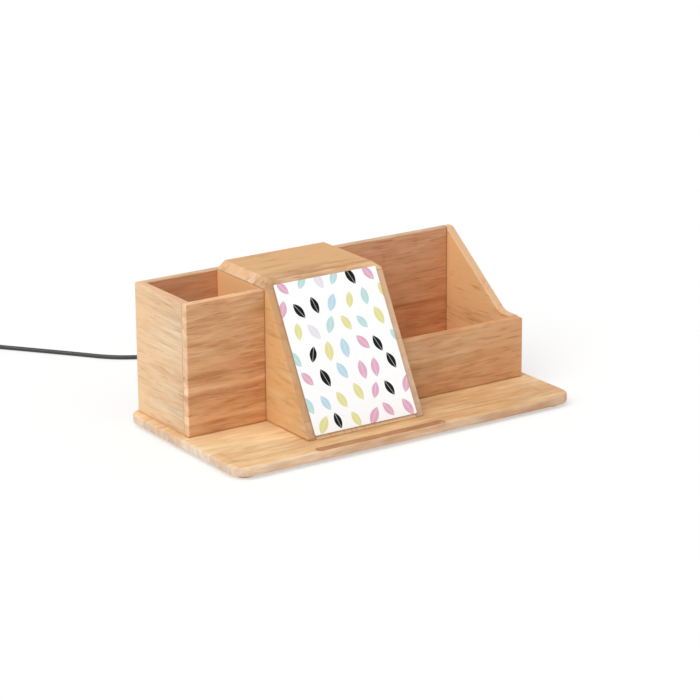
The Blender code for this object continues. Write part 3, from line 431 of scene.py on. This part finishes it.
def print_group():
    """A scatter of small leaves in pastels and black, in staggered rows, for the panel."""
    group, given, result = new_group(
        "scattered_leaves",
        [
            ("Place", VECTOR, (0, 0, 0)),
            ("Ground", COLOUR, (0.9, 0.9, 0.9, 1)),
            ("Column Width", VALUE, 0.0128),
            ("Row Height", VALUE, 0.0152),
            ("Leaf Length", VALUE, 0.0134),
            ("Leaf Width", VALUE, 0.0062),
            ("Seed", VALUE, 0.0),
        ],
        [("Colour", COLOUR)],
    )
    across, along, _ = split_axes(group, given["Place"])

    # Staggered rows and columns, and the chances of each leaf in them
    rows = calc(group, "DIVIDE", along, given["Row Height"])
    row = calc(group, "FLOOR", rows)
    columns = calc(group, "DIVIDE", across, given["Column Width"])
    stagger = calc(group, "MULTIPLY", calc(group, "FLOORED_MODULO", row, 2.0), 0.5)
    columns = calc(group, "ADD", columns, stagger)
    column = calc(group, "FLOOR", columns)
    first_key = join_axes(group, column, row, given["Seed"])
    second_key = join_axes(group, row, given["Seed"], column)
    pick = add_node(group, "ShaderNodeTexWhiteNoise", {"Vector": first_key})
    lean, slip, size = split_axes(group, pick.outputs["Color"])
    pick = add_node(group, "ShaderNodeTexWhiteNoise", {"Vector": second_key})
    rise, shade, _ = split_axes(group, pick.outputs["Color"])

    # The place measured from the leaf's own middle, which is near its cell's, and turned as the leaf leans
    x = calc(group, "SUBTRACT", columns, column)
    x = calc(group, "SUBTRACT", x, calc(group, "MULTIPLY_ADD", slip, 0.26, 0.37))
    y = calc(group, "SUBTRACT", rows, row)
    y = calc(group, "SUBTRACT", y, calc(group, "MULTIPLY_ADD", rise, 0.20, 0.40))
    x = calc(group, "MULTIPLY", x, given["Column Width"])
    y = calc(group, "MULTIPLY", y, given["Row Height"])
    turn = {"Vector": join_axes(group, x, y, 0.0), "Angle": sway(group, lean, 1.3, 0.0)}
    turned = add_node(group, "ShaderNodeVectorRotate", turn, rotation_type="Z_AXIS")
    x, y, _ = split_axes(group, turned.outputs[0])

    # A leaf between two bows, with its pale middle vein
    half_grown = calc(group, "MULTIPLY_ADD", size, 0.11, 0.41)
    half_length = calc(group, "MULTIPLY", given["Leaf Length"], half_grown)
    half_width = calc(group, "MULTIPLY", given["Leaf Width"], half_grown)
    taper = calc(group, "SUBTRACT", 1.0, calc(group, "POWER", calc(group, "DIVIDE", y, half_length), 2.0))
    side = calc(group, "ABSOLUTE", x)
    depth = calc(group, "SUBTRACT", calc(group, "MULTIPLY", half_width, taper), side)
    leaf = soft_step(group, depth, -0.00008, 0.00012)
    vein = calc(group, "SUBTRACT", 1.0, soft_step(group, side, 0.00008, 0.00022))
    leaf = calc(group, "MULTIPLY", leaf, calc(group, "MULTIPLY_ADD", vein, -0.55, 1.0))
    ramp = add_node(group, "ShaderNodeValToRGB", {"Fac": shade})
    ramp.color_ramp.interpolation = "CONSTANT"
    fill_ramp(ramp, [(start, (*ink, 1)) for start, ink in INKS])
    group.links.new(blend_colours(group, leaf, given["Ground"], ramp.outputs["Color"]), result["Colour"])
    return group


def mould_group():
    """Moulded plastic or rubber: a fine matt grain and slow changes of shine."""
    group, given, result = new_group(
        "moulded_grain",
        [
            ("Place", VECTOR, (0, 0, 0)),
            ("Colour", COLOUR, (0.5, 0.5, 0.5, 1)),
            ("Grain Size", VALUE, 0.0004),
            ("Shine", VALUE, 0.5),
            ("Shine Change", VALUE, 0.15),
        ],
        SURFACE_OUTPUTS,
    )
    fine = noise(group, given["Place"], calc(group, "DIVIDE", 1.0, given["Grain Size"]))
    slow = noise(group, given["Place"], 90.0, 3.0)
    rough = sway(group, slow, given["Shine Change"], given["Shine"])
    group.links.new(calc(group, "MULTIPLY_ADD", fine, 0.06, rough), result["Roughness"])
    bright = sway(group, slow, 0.25, calc(group, "MULTIPLY_ADD", fine, 0.10, 0.95))
    group.links.new(dim(group, given["Colour"], bright), result["Colour"])
    group.links.new(fine, result["Height"])
    return group


def metal_group():
    """Drawn or turned metal: fine lines along one way, and a few dull patches."""
    group, given, result = new_group(
        "drawn_metal",
        [
            ("Place", VECTOR, (0, 0, 0)),
            ("Colour", COLOUR, (0.6, 0.6, 0.6, 1)),
            ("Line Stretch", VECTOR, (300.0, 6000.0, 6000.0)),
            ("Shine", VALUE, 0.3),
        ],
        SURFACE_OUTPUTS,
    )
    inputs = {0: given["Place"], 1: given["Line Stretch"]}
    drawn_out = add_node(group, "ShaderNodeVectorMath", inputs, operation="MULTIPLY").outputs[0]
    lines = noise(group, drawn_out, 1.0, 3.0)
    dull = noise(group, given["Place"], 260.0, 3.0)
    rough = calc(group, "MULTIPLY_ADD", dull, 0.20, calc(group, "SUBTRACT", given["Shine"], 0.18))
    group.links.new(calc(group, "MULTIPLY_ADD", lines, 0.16, rough), result["Roughness"])
    bright = calc(group, "MULTIPLY_ADD", dull, 0.30, 0.82)
    group.links.new(dim(group, given["Colour"], bright), result["Colour"])
    group.links.new(lines, result["Height"])
    return group


def ring_group():
    """Round wire laid in rings: each ring's dome, painted shade in the seams between rings, and its own tone.
    """
    group, given, result = new_group(
        "wound_rings",
        [
            ("Radius", VALUE, 0.0),
            ("Pitch", VALUE, 0.001),
            ("Place", VECTOR, (0, 0, 0)),
            ("Wire Colour", COLOUR, (0.7, 0.3, 0.1, 1)),
            ("Crease Shade Colour", COLOUR, (0.1, 0.05, 0.02, 1)),
        ],
        SURFACE_OUTPUTS,
    )
    count = calc(group, "DIVIDE", given["Radius"], given["Pitch"])
    away = calc(group, "ABSOLUTE", calc(group, "SUBTRACT", calc(group, "FRACT", count), 0.5))
    dome = calc(group, "SQRT", calc(group, "SUBTRACT", 0.2501, calc(group, "MULTIPLY", away, away)))
    seam = soft_step(group, away, 0.40, 0.49)
    own = noise(group, join_axes(group, calc(group, "FLOOR", count), 0.0, 0.0), 3.7, 0.0)
    dull = noise(group, given["Place"], 300.0, 3.0)
    bright = calc(group, "MULTIPLY_ADD", own, 0.35, calc(group, "MULTIPLY_ADD", dull, 0.30, 0.68))
    wire = dim(group, given["Wire Colour"], bright)
    # Painted shade in the creases between the wires
    group.links.new(blend_colours(group, seam, wire, given["Crease Shade Colour"]), result["Colour"])
    group.links.new(calc(group, "MULTIPLY_ADD", dull, 0.20, 0.20), result["Roughness"])
    group.links.new(dome, result["Height"])
    return group


def trace_group():
    """Copper traces and solder pads of a circuit board, seen through and beside its mask."""
    group, given, result = new_group(
        "board_traces",
        [
            ("Place", VECTOR, (0, 0, 0)),
            ("Mask Colour", COLOUR, (0.02, 0.15, 0.06, 1)),
            ("Trace Colour", COLOUR, (0.04, 0.25, 0.1, 1)),
            ("Pad Colour", COLOUR, (0.6, 0.6, 0.5, 1)),
        ],
        SURFACE_OUTPUTS,
    )
    x, y, _ = split_axes(group, given["Place"])
    flat = join_axes(group, x, y, 0.0)
    inputs = {"Vector": flat, "Scale": 260.0}
    cells = add_node(group, "ShaderNodeTexVoronoi", inputs, distance="CHEBYCHEV", feature="F1")
    inputs = {"Vector": flat, "Scale": 130.0}
    routes = add_node(group, "ShaderNodeTexVoronoi", inputs, distance="MANHATTAN", feature="F2")
    lanes = calc(group, "FRACT", calc(group, "MULTIPLY", routes.outputs["Distance"], 5.0))
    trace = soft_step(group, lanes, 0.50, 0.58)
    _, _, chance = split_axes(group, cells.outputs["Color"])
    near = calc(group, "SUBTRACT", 1.0, soft_step(group, cells.outputs["Distance"], 0.16, 0.20))
    pad = calc(group, "MULTIPLY", near, calc(group, "GREATER_THAN", chance, 0.55))
    mask = blend_colours(group, trace, given["Mask Colour"], given["Trace Colour"])
    group.links.new(blend_colours(group, pad, mask, given["Pad Colour"]), result["Colour"])
    fine = noise(group, given["Place"], 1200.0)
    group.links.new(calc(group, "MULTIPLY_ADD", fine, 0.12, 0.26), result["Roughness"])
    group.links.new(calc(group, "MAXIMUM", trace, pad), result["Height"])
    return group


def new_surface(name, **values):
    """A material with its Principled shader, whose plain values are set on its own sockets."""
    surface = bpy.data.materials.new(name)
    surface.use_nodes = True
    shader = surface.node_tree.nodes["Principled BSDF"]
    for key, value in values.items():
        shader.inputs[key.replace("_", " ")].default_value = value
    return surface, surface.node_tree, shader


def object_place(tree):
    """Where a point is on the organiser at rest, in metres."""
    return add_node(tree, "ShaderNodeTexCoord").outputs["Object"]


def add_relief(tree, shader, height, strength, depth):
    """Lets a height over the surface catch the light."""
    bump = add_node(tree, "ShaderNodeBump", {"Height": height, "Strength": strength, "Distance": depth})
    tree.links.new(bump.outputs[0], shader.inputs["Normal"])


def join_effect(tree, shader, effect, strength, depth):
    """Puts a group's colour, roughness and height on the shader."""
    tree.links.new(effect.outputs["Colour"], shader.inputs["Base Color"])
    tree.links.new(effect.outputs["Roughness"], shader.inputs["Roughness"])
    add_relief(tree, shader, effect.outputs["Height"], strength, depth)


def tone_ramp(tree, position, stops):
    """Tone and warmth that change over a board, from (share of its size, tone, warmth) stops."""
    ramp = add_node(tree, "ShaderNodeValToRGB", {"Fac": position})
    fill_ramp(ramp, [(share, (tone, warmth, 0, 1)) for share, tone, warmth in stops])
    tone, warmth, _ = split_axes(tree, ramp.outputs["Color"])
    return tone, warmth


def turned_axes(tree, axes, tilt):
    """The place and the facing along, across and through a board, whose axes are named in that order."""
    source = add_node(tree, "ShaderNodeTexCoord").outputs
    turned = []
    for vector, kind in ((source["Object"], "POINT"), (source["Normal"], "NORMAL")):
        if tilt:
            inputs = {"Vector": vector, "Rotation": (-tilt, 0, 0)}
            vector = add_node(tree, "ShaderNodeMapping", inputs, vector_type=kind).outputs[0]
        ways = dict(zip("XYZ", split_axes(tree, vector)))
        turned.append(join_axes(tree, *(ways[axis] for axis in axes)))
    return turned


def bamboo(node, axes, face, rim, end, seed, bands=((0, 0.5, 0.3),), drift=((0, 0.5, 0.0),), width=0.0095,
           strips=0.25, streaks=1.0, clouds=0.8, dashes=0.4, tilt=0.0, painted_light=None):
    """One board's bamboo, with colours for its faces, rims and ends. The axes name the ways along, across
    and through it. Bands of tone and warmth run across it, and both drift along it; on some boards they hold
    painted light and shade besides the wood's own tone. It may have painted light at one end or low down,
    where shade falls: a colour, a way (0, 1 or 2), and the shares of that way where it starts and is full."""
    surface, tree, shader = new_surface(f"bamboo_{node}", Specular_IOR_Level=0.35)
    place, facing = turned_axes(tree, axes, tilt)
    along, across, through = split_axes(tree, place)
    low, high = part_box(node)
    shares = []
    for way, axis in zip((along, across, through), axes):
        near, far = low["XYZ".index(axis)], high["XYZ".index(axis)]
        shares.append(calc(tree, "MULTIPLY", calc(tree, "SUBTRACT", way, near), 1 / (far - near)))
    wobble = noise(tree, stretched(tree, along, across, 0.0, 14.0, 40.0), 1.0)
    band_tone, band_warmth = tone_ramp(tree, sway(tree, wobble, 0.05, shares[1]), bands)
    drift_tone, drift_warmth = tone_ramp(tree, shares[0], drift)
    face = (*face, 1)
    # Painted light: the face colour turns towards a paler one over part of the board, where shade falls
    if painted_light:
        pale, way, start, full = painted_light
        face = blend_colours(tree, soft_step(tree, shares[way], start, full), face, (*pale, 1))
    effect = use_group(tree, BAMBOO, {
        "Place": place,
        "Facing": facing,
        "Face Colour": face,
        "Rim Colour": (*rim, 1),
        "End Colour": (*end, 1),
        "Tone": calc(tree, "SUBTRACT", calc(tree, "ADD", band_tone, drift_tone), 0.5),
        "Warmth": calc(tree, "ADD", band_warmth, drift_warmth),
        "Strip Width": width,
        "Strip Contrast": strips,
        "Streak Contrast": streaks,
        "Cloud Contrast": clouds,
        "Dash Contrast": dashes,
        "Seed": seed,
    })
    join_effect(tree, shader, effect, 0.35, 0.00012)
    return surface


def moulded(name, colour, shine, grain=0.0004, change=0.15, bump=0.3):
    """Moulded plastic or rubber in one colour."""
    surface, tree, shader = new_surface(name)
    effect = use_group(tree, MOULD, {
        "Place": object_place(tree),
        "Colour": (*colour, 1),
        "Grain Size": grain,
        "Shine": shine,
        "Shine Change": change,
    })
    join_effect(tree, shader, effect, bump, 0.00005)
    return surface


def drawn(name, colour, shine):
    """Metal with fine drawn lines."""
    surface, tree, shader = new_surface(name, Metallic=1.0)
    effect = use_group(tree, METAL, {"Place": object_place(tree), "Colour": (*colour, 1), "Shine": shine})
    join_effect(tree, shader, effect, 0.2, 0.00003)
    return surface


def slope_place(tree, origin):
    """A place measured from the origin, across, up and out of the slope."""
    inputs = {"Vector": object_place(tree), "Location": origin, "Rotation": (SLOPE_ANGLE, 0, 0)}
    return add_node(tree, "ShaderNodeMapping", inputs, vector_type="TEXTURE").outputs[0]


def wound_copper():
    """The charging coil's enamelled wire, wound in close rings."""
    surface, tree, shader = new_surface("wound_copper", Metallic=1.0)
    place = slope_place(tree, middle_of("charging_coil"))
    x, y, _ = split_axes(tree, place)
    radius = add_node(tree, "ShaderNodeVectorMath", {0: join_axes(tree, x, y, 0.0)}, operation="LENGTH")
    rings = use_group(tree, RINGS, {
        "Radius": radius.outputs["Value"],
        "Pitch": COIL_PITCH,
        "Place": place,
        "Wire Colour": (0.76, 0.34, 0.15, 1),
        # Painted shade for the creases between the wires
        "Crease Shade Colour": (0.16, 0.06, 0.03, 1),
    })
    join_effect(tree, shader, rings, 0.7, 0.0004)
    return surface


def etched_board():
    """The circuit board's green mask, with traces under it and bare pads."""
    surface, tree, shader = new_surface("etched_board", Specular_IOR_Level=0.5)
    traces = use_group(tree, TRACES, {
        "Place": object_place(tree),
        "Mask Colour": (0.018, 0.14, 0.06, 1),
        "Trace Colour": (0.035, 0.26, 0.10, 1),
        "Pad Colour": (0.62, 0.60, 0.52, 1),
    })
    join_effect(tree, shader, traces, 0.4, 0.00004)
    return surface


def printed_panel():
    """The white panel, printed with small leaves on its face; its edges are greyish brown, painted shade."""
    surface, tree, shader = new_surface("printed_white", Specular_IOR_Level=0.15)
    low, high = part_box("slope_board")
    place = slope_place(tree, ((low.x + high.x) / 2, low.y, low.z))
    leaves = use_group(tree, LEAVES, {"Place": place, "Ground": (0.98, 0.98, 0.98, 1), "Seed": PRINT_SEED})
    face = soft_step(tree, split_axes(tree, place)[2], PRINT_START, PRINT_FULL)
    # Below the print, the panel's edges get a greyish brown that is painted shade
    colour = blend_colours(tree, face, (0.42, 0.37, 0.33, 1), leaves.outputs["Colour"])
    tree.links.new(colour, shader.inputs["Base Color"])
    fine = noise(tree, place, 1500.0)
    tree.links.new(calc(tree, "MULTIPLY_ADD", fine, 0.10, 0.30), shader.inputs["Roughness"])
    add_relief(tree, shader, fine, 0.05, 0.00004)
    return surface


def dress(node, surface):
    """Gives a CAD node its finished material."""
    data = NODES[node].data
    data.materials.clear()
    data.materials.append(surface)


def dress_boards():
    """The bamboo boards, each with its own cut of bamboo."""
    rim, end = (0.64, 0.42, 0.25), (0.66, 0.42, 0.25)
    boards = {
        "base_board": {
            "axes": "XYZ", "face": (0.81, 0.56, 0.30), "rim": (0.72, 0.49, 0.31), "end": (0.66, 0.49, 0.35),
            "width": 0.0200, "streaks": 0.8, "clouds": 1.1, "dashes": 0.2,
            # Painted light in the lower part of the board, which lightens the shade inside the groove
            "painted_light": ((1.0, 0.76, 0.47), 2, 0.9, 0.6),
            "bands": ((0.0, 0.52, 0.25), (0.06, 0.44, 0.40), (0.14, 0.45, 0.38),
                      (0.24, 0.52, 0.20), (0.45, 0.52, 0.20), (0.56, 0.45, 0.50)),
            # The drift is partly the wood's tone and partly painted light and shade: pale at the left end,
            # where the left lamp falls, and darker and warmer from the housing rightwards, in its shade
            "drift": ((0.0, 0.66, -0.1), (0.04, 0.60, 0.0), (0.20, 0.54, 0.02), (0.30, 0.38, 0.45),
                      (0.48, 0.32, 0.42), (0.60, 0.30, 0.22), (0.75, 0.25, 0.25), (1.0, 0.22, 0.25)),
        },
        "back_board": {
            "axes": "XZY", "face": (0.68, 0.34, 0.17), "rim": rim, "end": end, "streaks": 0.8, "dashes": 0.3,
            # The bands hold the wood's dark lines, and grow darker and warmer towards the bottom: partly
            # painted shade and warm light bounced from the base
            "bands": ((0.0, 0.48, 0.80), (0.38, 0.56, 0.60), (0.42, 0.12, 0.60), (0.46, 0.56, 0.50),
                      (0.65, 0.52, 0.35), (0.68, 0.18, 0.35), (0.72, 0.52, 0.25), (0.95, 0.54, 0.10)),
            # Painted light: the drift is paler at the left, inside the pen box, where shade falls
            "drift": ((0.0, 0.68, 0.15), (0.3, 0.68, 0.15), (0.5, 0.5, 0.0)),
        },
        "pen_box_left_wall": {
            "axes": "YZX", "face": (0.695, 0.485, 0.295), "rim": (0.71, 0.43, 0.24), "end": rim,
            "strips": 0.2, "streaks": 0.75, "dashes": 0.3,
            "bands": ((0.0, 0.50, 0.35), (0.1, 0.54, 0.25), (0.6, 0.48, 0.3), (0.95, 0.52, 0.2)),
        },
        "pen_box_front_wall": {
            "axes": "XZY", "face": (0.67, 0.353, 0.165), "rim": (0.84, 0.48, 0.24),
            "end": (0.75, 0.485, 0.28),
            "strips": 0.3, "clouds": 1.2, "dashes": 0.35,
            # The bands hold the wood's dark lines and tone, and grow warmer towards the bottom: partly
            # painted warm light bounced from the base
            "bands": ((0.0, 0.56, 0.60), (0.05, 0.58, 0.50), (0.08, 0.22, 0.50), (0.11, 0.80, 0.30),
                      (0.16, 0.57, 0.50), (0.26, 0.55, 0.50), (0.30, 0.10, 0.60), (0.34, 0.80, 0.30),
                      (0.39, 0.58, 0.30), (0.44, 0.12, 0.50), (0.48, 0.58, 0.20), (0.70, 0.50, 0.20),
                      (0.84, 0.52, 0.15), (0.86, 0.34, 0.15), (0.89, 0.52, 0.10)),
            # Darker and warmer towards the housing: partly painted shade in the corner there, partly the
            # wood's tone
            "drift": ((0.0, 0.54, 0.0), (0.6, 0.50, 0.0), (1.0, 0.44, 0.15)),
        },
        "housing_left_side": {
            "axes": "YZX", "face": (0.64, 0.39, 0.18), "rim": (0.53, 0.30, 0.145),
            "end": (0.53, 0.30, 0.145),
            "strips": 0.5, "streaks": 0.8, "clouds": 1.1, "dashes": 0.3,
            # Painted light on the rear part of this side, inside the pen box, where shade falls
            "painted_light": ((0.87, 0.50, 0.25), 0, 0.46, 0.54),
        },
        "housing_right_side": {
            "axes": "YZX", "face": (0.69, 0.42, 0.20), "rim": (0.58, 0.38, 0.24), "end": (0.58, 0.38, 0.24),
            "streaks": 0.65, "clouds": 0.9, "dashes": 0.25,
        },
        "housing_top_board": {
            "axes": "XYZ", "face": (0.585, 0.33, 0.14), "rim": (0.71, 0.47, 0.27), "end": (0.72, 0.47, 0.28),
            "strips": 0.5, "streaks": 1.7, "clouds": 2.0,
        },
        "slope_board": {
            "axes": "YXZ", "face": (0.70, 0.48, 0.28), "rim": rim, "end": end,
            "tilt": SLOPE_ANGLE, "width": 0.0050,
        },
        "tray_front_panel": {
            "axes": "XZY", "face": (0.595, 0.325, 0.158), "rim": (0.62, 0.32, 0.145), "end": end,
            "clouds": 1.2, "dashes": 0.4,
            "bands": ((0.0, 0.42, 0.50), (0.22, 0.44, 0.45), (0.50, 0.46, 0.35), (0.56, 0.44, 0.30),
                      (0.61, 0.85, 0.10), (0.68, 0.52, 0.20), (0.92, 0.54, 0.20), (0.97, 0.40, 0.30)),
        },
        "tray_right_side": {
            "axes": "YZX", "face": (0.76, 0.49, 0.25), "rim": (0.66, 0.42, 0.25),
            "end": (0.585, 0.375, 0.22),
            "strips": 0.4, "streaks": 1.3, "clouds": 1.2, "dashes": 0.55,
        },
    }
    for number, (node, cut) in enumerate(boards.items()):
        dress(node, bamboo(node, seed=FIRST_BOARD_SEED + BOARD_SEED_STEP * number, **cut))


def joint_filling(first, second):
    """The thin box between two boards that meet: its middle and its size."""
    (low, high), (next_low, next_high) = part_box(first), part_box(second)
    start, end = Vector(), Vector()
    for axis in range(3):
        a, b = max(low[axis], next_low[axis]), min(high[axis], next_high[axis])
        inset = GLUE_INSET if b > a else GLUE_SLACK
        start[axis], end[axis] = min(a, b) + inset, max(a, b) - inset
    return (start + end) / 2, end - start


def fill_joints():
    """Thin lines of glue in the joints between the boards, just short of the boards' faces."""
    seats = ("back_board", "pen_box_front_wall", "housing_left_side", "housing_right_side",
             "tray_front_panel", "tray_right_side")
    joints = {
        "dark": (
            ("pen_box_front_wall", "housing_left_side"),
            ("housing_left_side", "back_board"),
            ("housing_right_side", "back_board"),
            ("housing_right_side", "housing_top_board"),
            ("housing_right_side", "tray_front_panel"),
            ("back_board", "tray_right_side"),
            *(("base_board", node) for node in seats),
        ),
        "pale": (
            ("pen_box_front_wall", "pen_box_left_wall"),
            ("pen_box_left_wall", "back_board"),
            ("pen_box_left_wall", "base_board"),
            ("housing_left_side", "housing_top_board"),
            ("tray_front_panel", "tray_right_side"),
        ),
    }
    tints = {
        "dark": ((0.42, 0.22, 0.10, 1), (0.66, 0.40, 0.22, 1)),
        "pale": ((0.74, 0.48, 0.28, 1), (0.86, 0.60, 0.38, 1)),
    }
    for kind, pairs in joints.items():
        shape = bmesh.new()
        for first, second in pairs:
            middle, size = joint_filling(first, second)
            bmesh.ops.create_cube(shape, size=1.0, matrix=Matrix.LocRotScale(middle, None, size))
        surface, tree, shader = new_surface(f"joint_glue_{kind}", Specular_IOR_Level=0.3)
        patch = noise(tree, object_place(tree), 90.0)
        tree.links.new(blend_colours(tree, patch, *tints[kind]), shader.inputs["Base Color"])
        tree.links.new(calc(tree, "MULTIPLY_ADD", patch, 0.2, 0.45), shader.inputs["Roughness"])
        finish_piece(wrap_mesh(f"glue_lines_{kind}", shape), "organiser", surface, "bamboo")


def dress_insides():
    """The pads, the charger's insides and the metal parts, which carry over from the CAD."""
    rubber = moulded("pad_rubber", (0.42, 0.42, 0.41), 0.65, 0.0006)
    steel = drawn("plated_steel", (0.64, 0.64, 0.65), 0.30)
    brass = drawn("turned_brass", (0.70, 0.48, 0.18), 0.34)
    ferrite = moulded("pressed_ferrite", (0.060, 0.060, 0.066), 0.62, 0.0003)
    chip = moulded("chip_moulding", (0.028, 0.028, 0.028), 0.48, 0.0002)
    white = moulded("white_moulding", (0.75, 0.75, 0.72), 0.45)
    copper = drawn("enamelled_copper", (0.72, 0.33, 0.15), 0.32)
    tie = moulded("tie_webbing", (0.085, 0.085, 0.085), 0.75, 0.0005, 0.10, 0.8)
    for surface, nodes in (
        (rubber, [f"foot_pad_{n}" for n in range(1, 5)]),
        (steel, [f"carrier_screw_{n}" for n in range(1, 5)] + [f"board_screw_{n}" for n in range(1, 5)]),
        (steel, ["filter_capacitor_1", "filter_capacitor_2", "socket_shell", "lead_plug_tip",
                 "far_plug_shell"]),
        (brass, [f"board_standoff_{n}" for n in range(1, 5)]),
        (ferrite, ["ferrite_shield", "power_inductor"]),
        (chip, ["controller_chip", "driver_chip_1", "driver_chip_2", "socket_tongue"]),
        (white, ["coil_carrier", "far_plug_tongue"]),
        (etched_board(), ["circuit_board"]),
        (wound_copper(), ["charging_coil"]),
        (copper, ["coil_wire_1", "coil_wire_2"]),
        (tie, ["cord_tie"]),
    ):
        for node in nodes:
            dress(node, surface)


def dress_lead():
    """The cord as one smooth run, with the plugs' mouldings."""
    jacket = moulded("cord_jacket", (0.030, 0.033, 0.031), 0.42, 0.0005, 0.12, 0.2)
    for node in ("lead_plug_body", "lead_plug_relief", "far_plug_body", "far_plug_relief"):
        dress(node, jacket)
    points, leaving = cord_points()
    cord = smooth_tube("lead_run", points, CORD_DIAMETER / 2)
    finish_piece(cord, "lead", jacket, "cord_black", "lead_cord", "lead_coil")


def seen_rays(tree):
    """1 for rays that show the surroundings themselves: to the camera, and in metal and glass."""
    rays = add_node(tree, "ShaderNodeLightPath").outputs
    mirrored = calc(tree, "MAXIMUM", rays["Is Glossy Ray"], rays["Is Transmission Ray"])
    return calc(tree, "MAXIMUM", rays["Is Camera Ray"], mirrored)


def lay_floor():
    """A plain pale floor that keeps the organiser's shadow."""
    shape = bmesh.new()
    bmesh.ops.create_grid(shape, x_segments=1, y_segments=1, size=FLOOR_REACH)
    floor = wrap_mesh("floor", shape)
    surface, tree, shader = new_surface("pale_floor", Base_Color=WHITE, Roughness=1.0,
                                        Specular_IOR_Level=0.0)
    glow = add_node(tree, "ShaderNodeEmission", {"Color": WHITE, "Strength": 1.0})
    share = calc(tree, "MULTIPLY", seen_rays(tree), FLOOR_GLOW_SHARE)
    mix = add_node(tree, "ShaderNodeMixShader", {0: share, 1: shader.outputs[0], 2: glow.outputs[0]})
    tree.links.new(mix.outputs[0], tree.nodes["Material Output"].inputs["Surface"])
    floor.data.materials.append(surface)


def hang_lamp(name, source, spread, strength):
    """A broad soft lamp, far away in the direction of its source."""
    data = bpy.data.lights.new(name, "SUN")
    data.angle = math.radians(spread)
    data.energy = strength
    lamp = bpy.data.objects.new(name, data)
    lamp.location = source
    lamp.rotation_euler = Vector(source).to_track_quat("Z", "Y").to_euler()
    bpy.context.scene.collection.objects.link(lamp)


def light_studio():
    """Soft plain light, brightest from the front left and above, under a pale sky."""
    hang_lamp("left_lamp", *LEFT_LAMP)
    hang_lamp("top_lamp", *TOP_LAMP)
    world = bpy.data.worlds.new("pale_sky")
    bpy.context.scene.world = world
    world.use_nodes = True
    tree = world.node_tree
    shade = tree.nodes["Background"]
    shade.inputs["Color"].default_value = WHITE
    strength = calc(tree, "MULTIPLY_ADD", seen_rays(tree), 1 - SKY_STRENGTH, SKY_STRENGTH)
    tree.links.new(strength, shade.inputs["Strength"])
    bpy.context.scene.view_settings.view_transform = "Standard"


place_camera()

BAMBOO = bamboo_group()
LEAVES = print_group()
MOULD = mould_group()
METAL = metal_group()
RINGS = ring_group()
TRACES = trace_group()

dress_lead()
dress_boards()
fill_joints()
dress("print_panel", printed_panel())
dress_insides()
lay_floor()
light_studio()
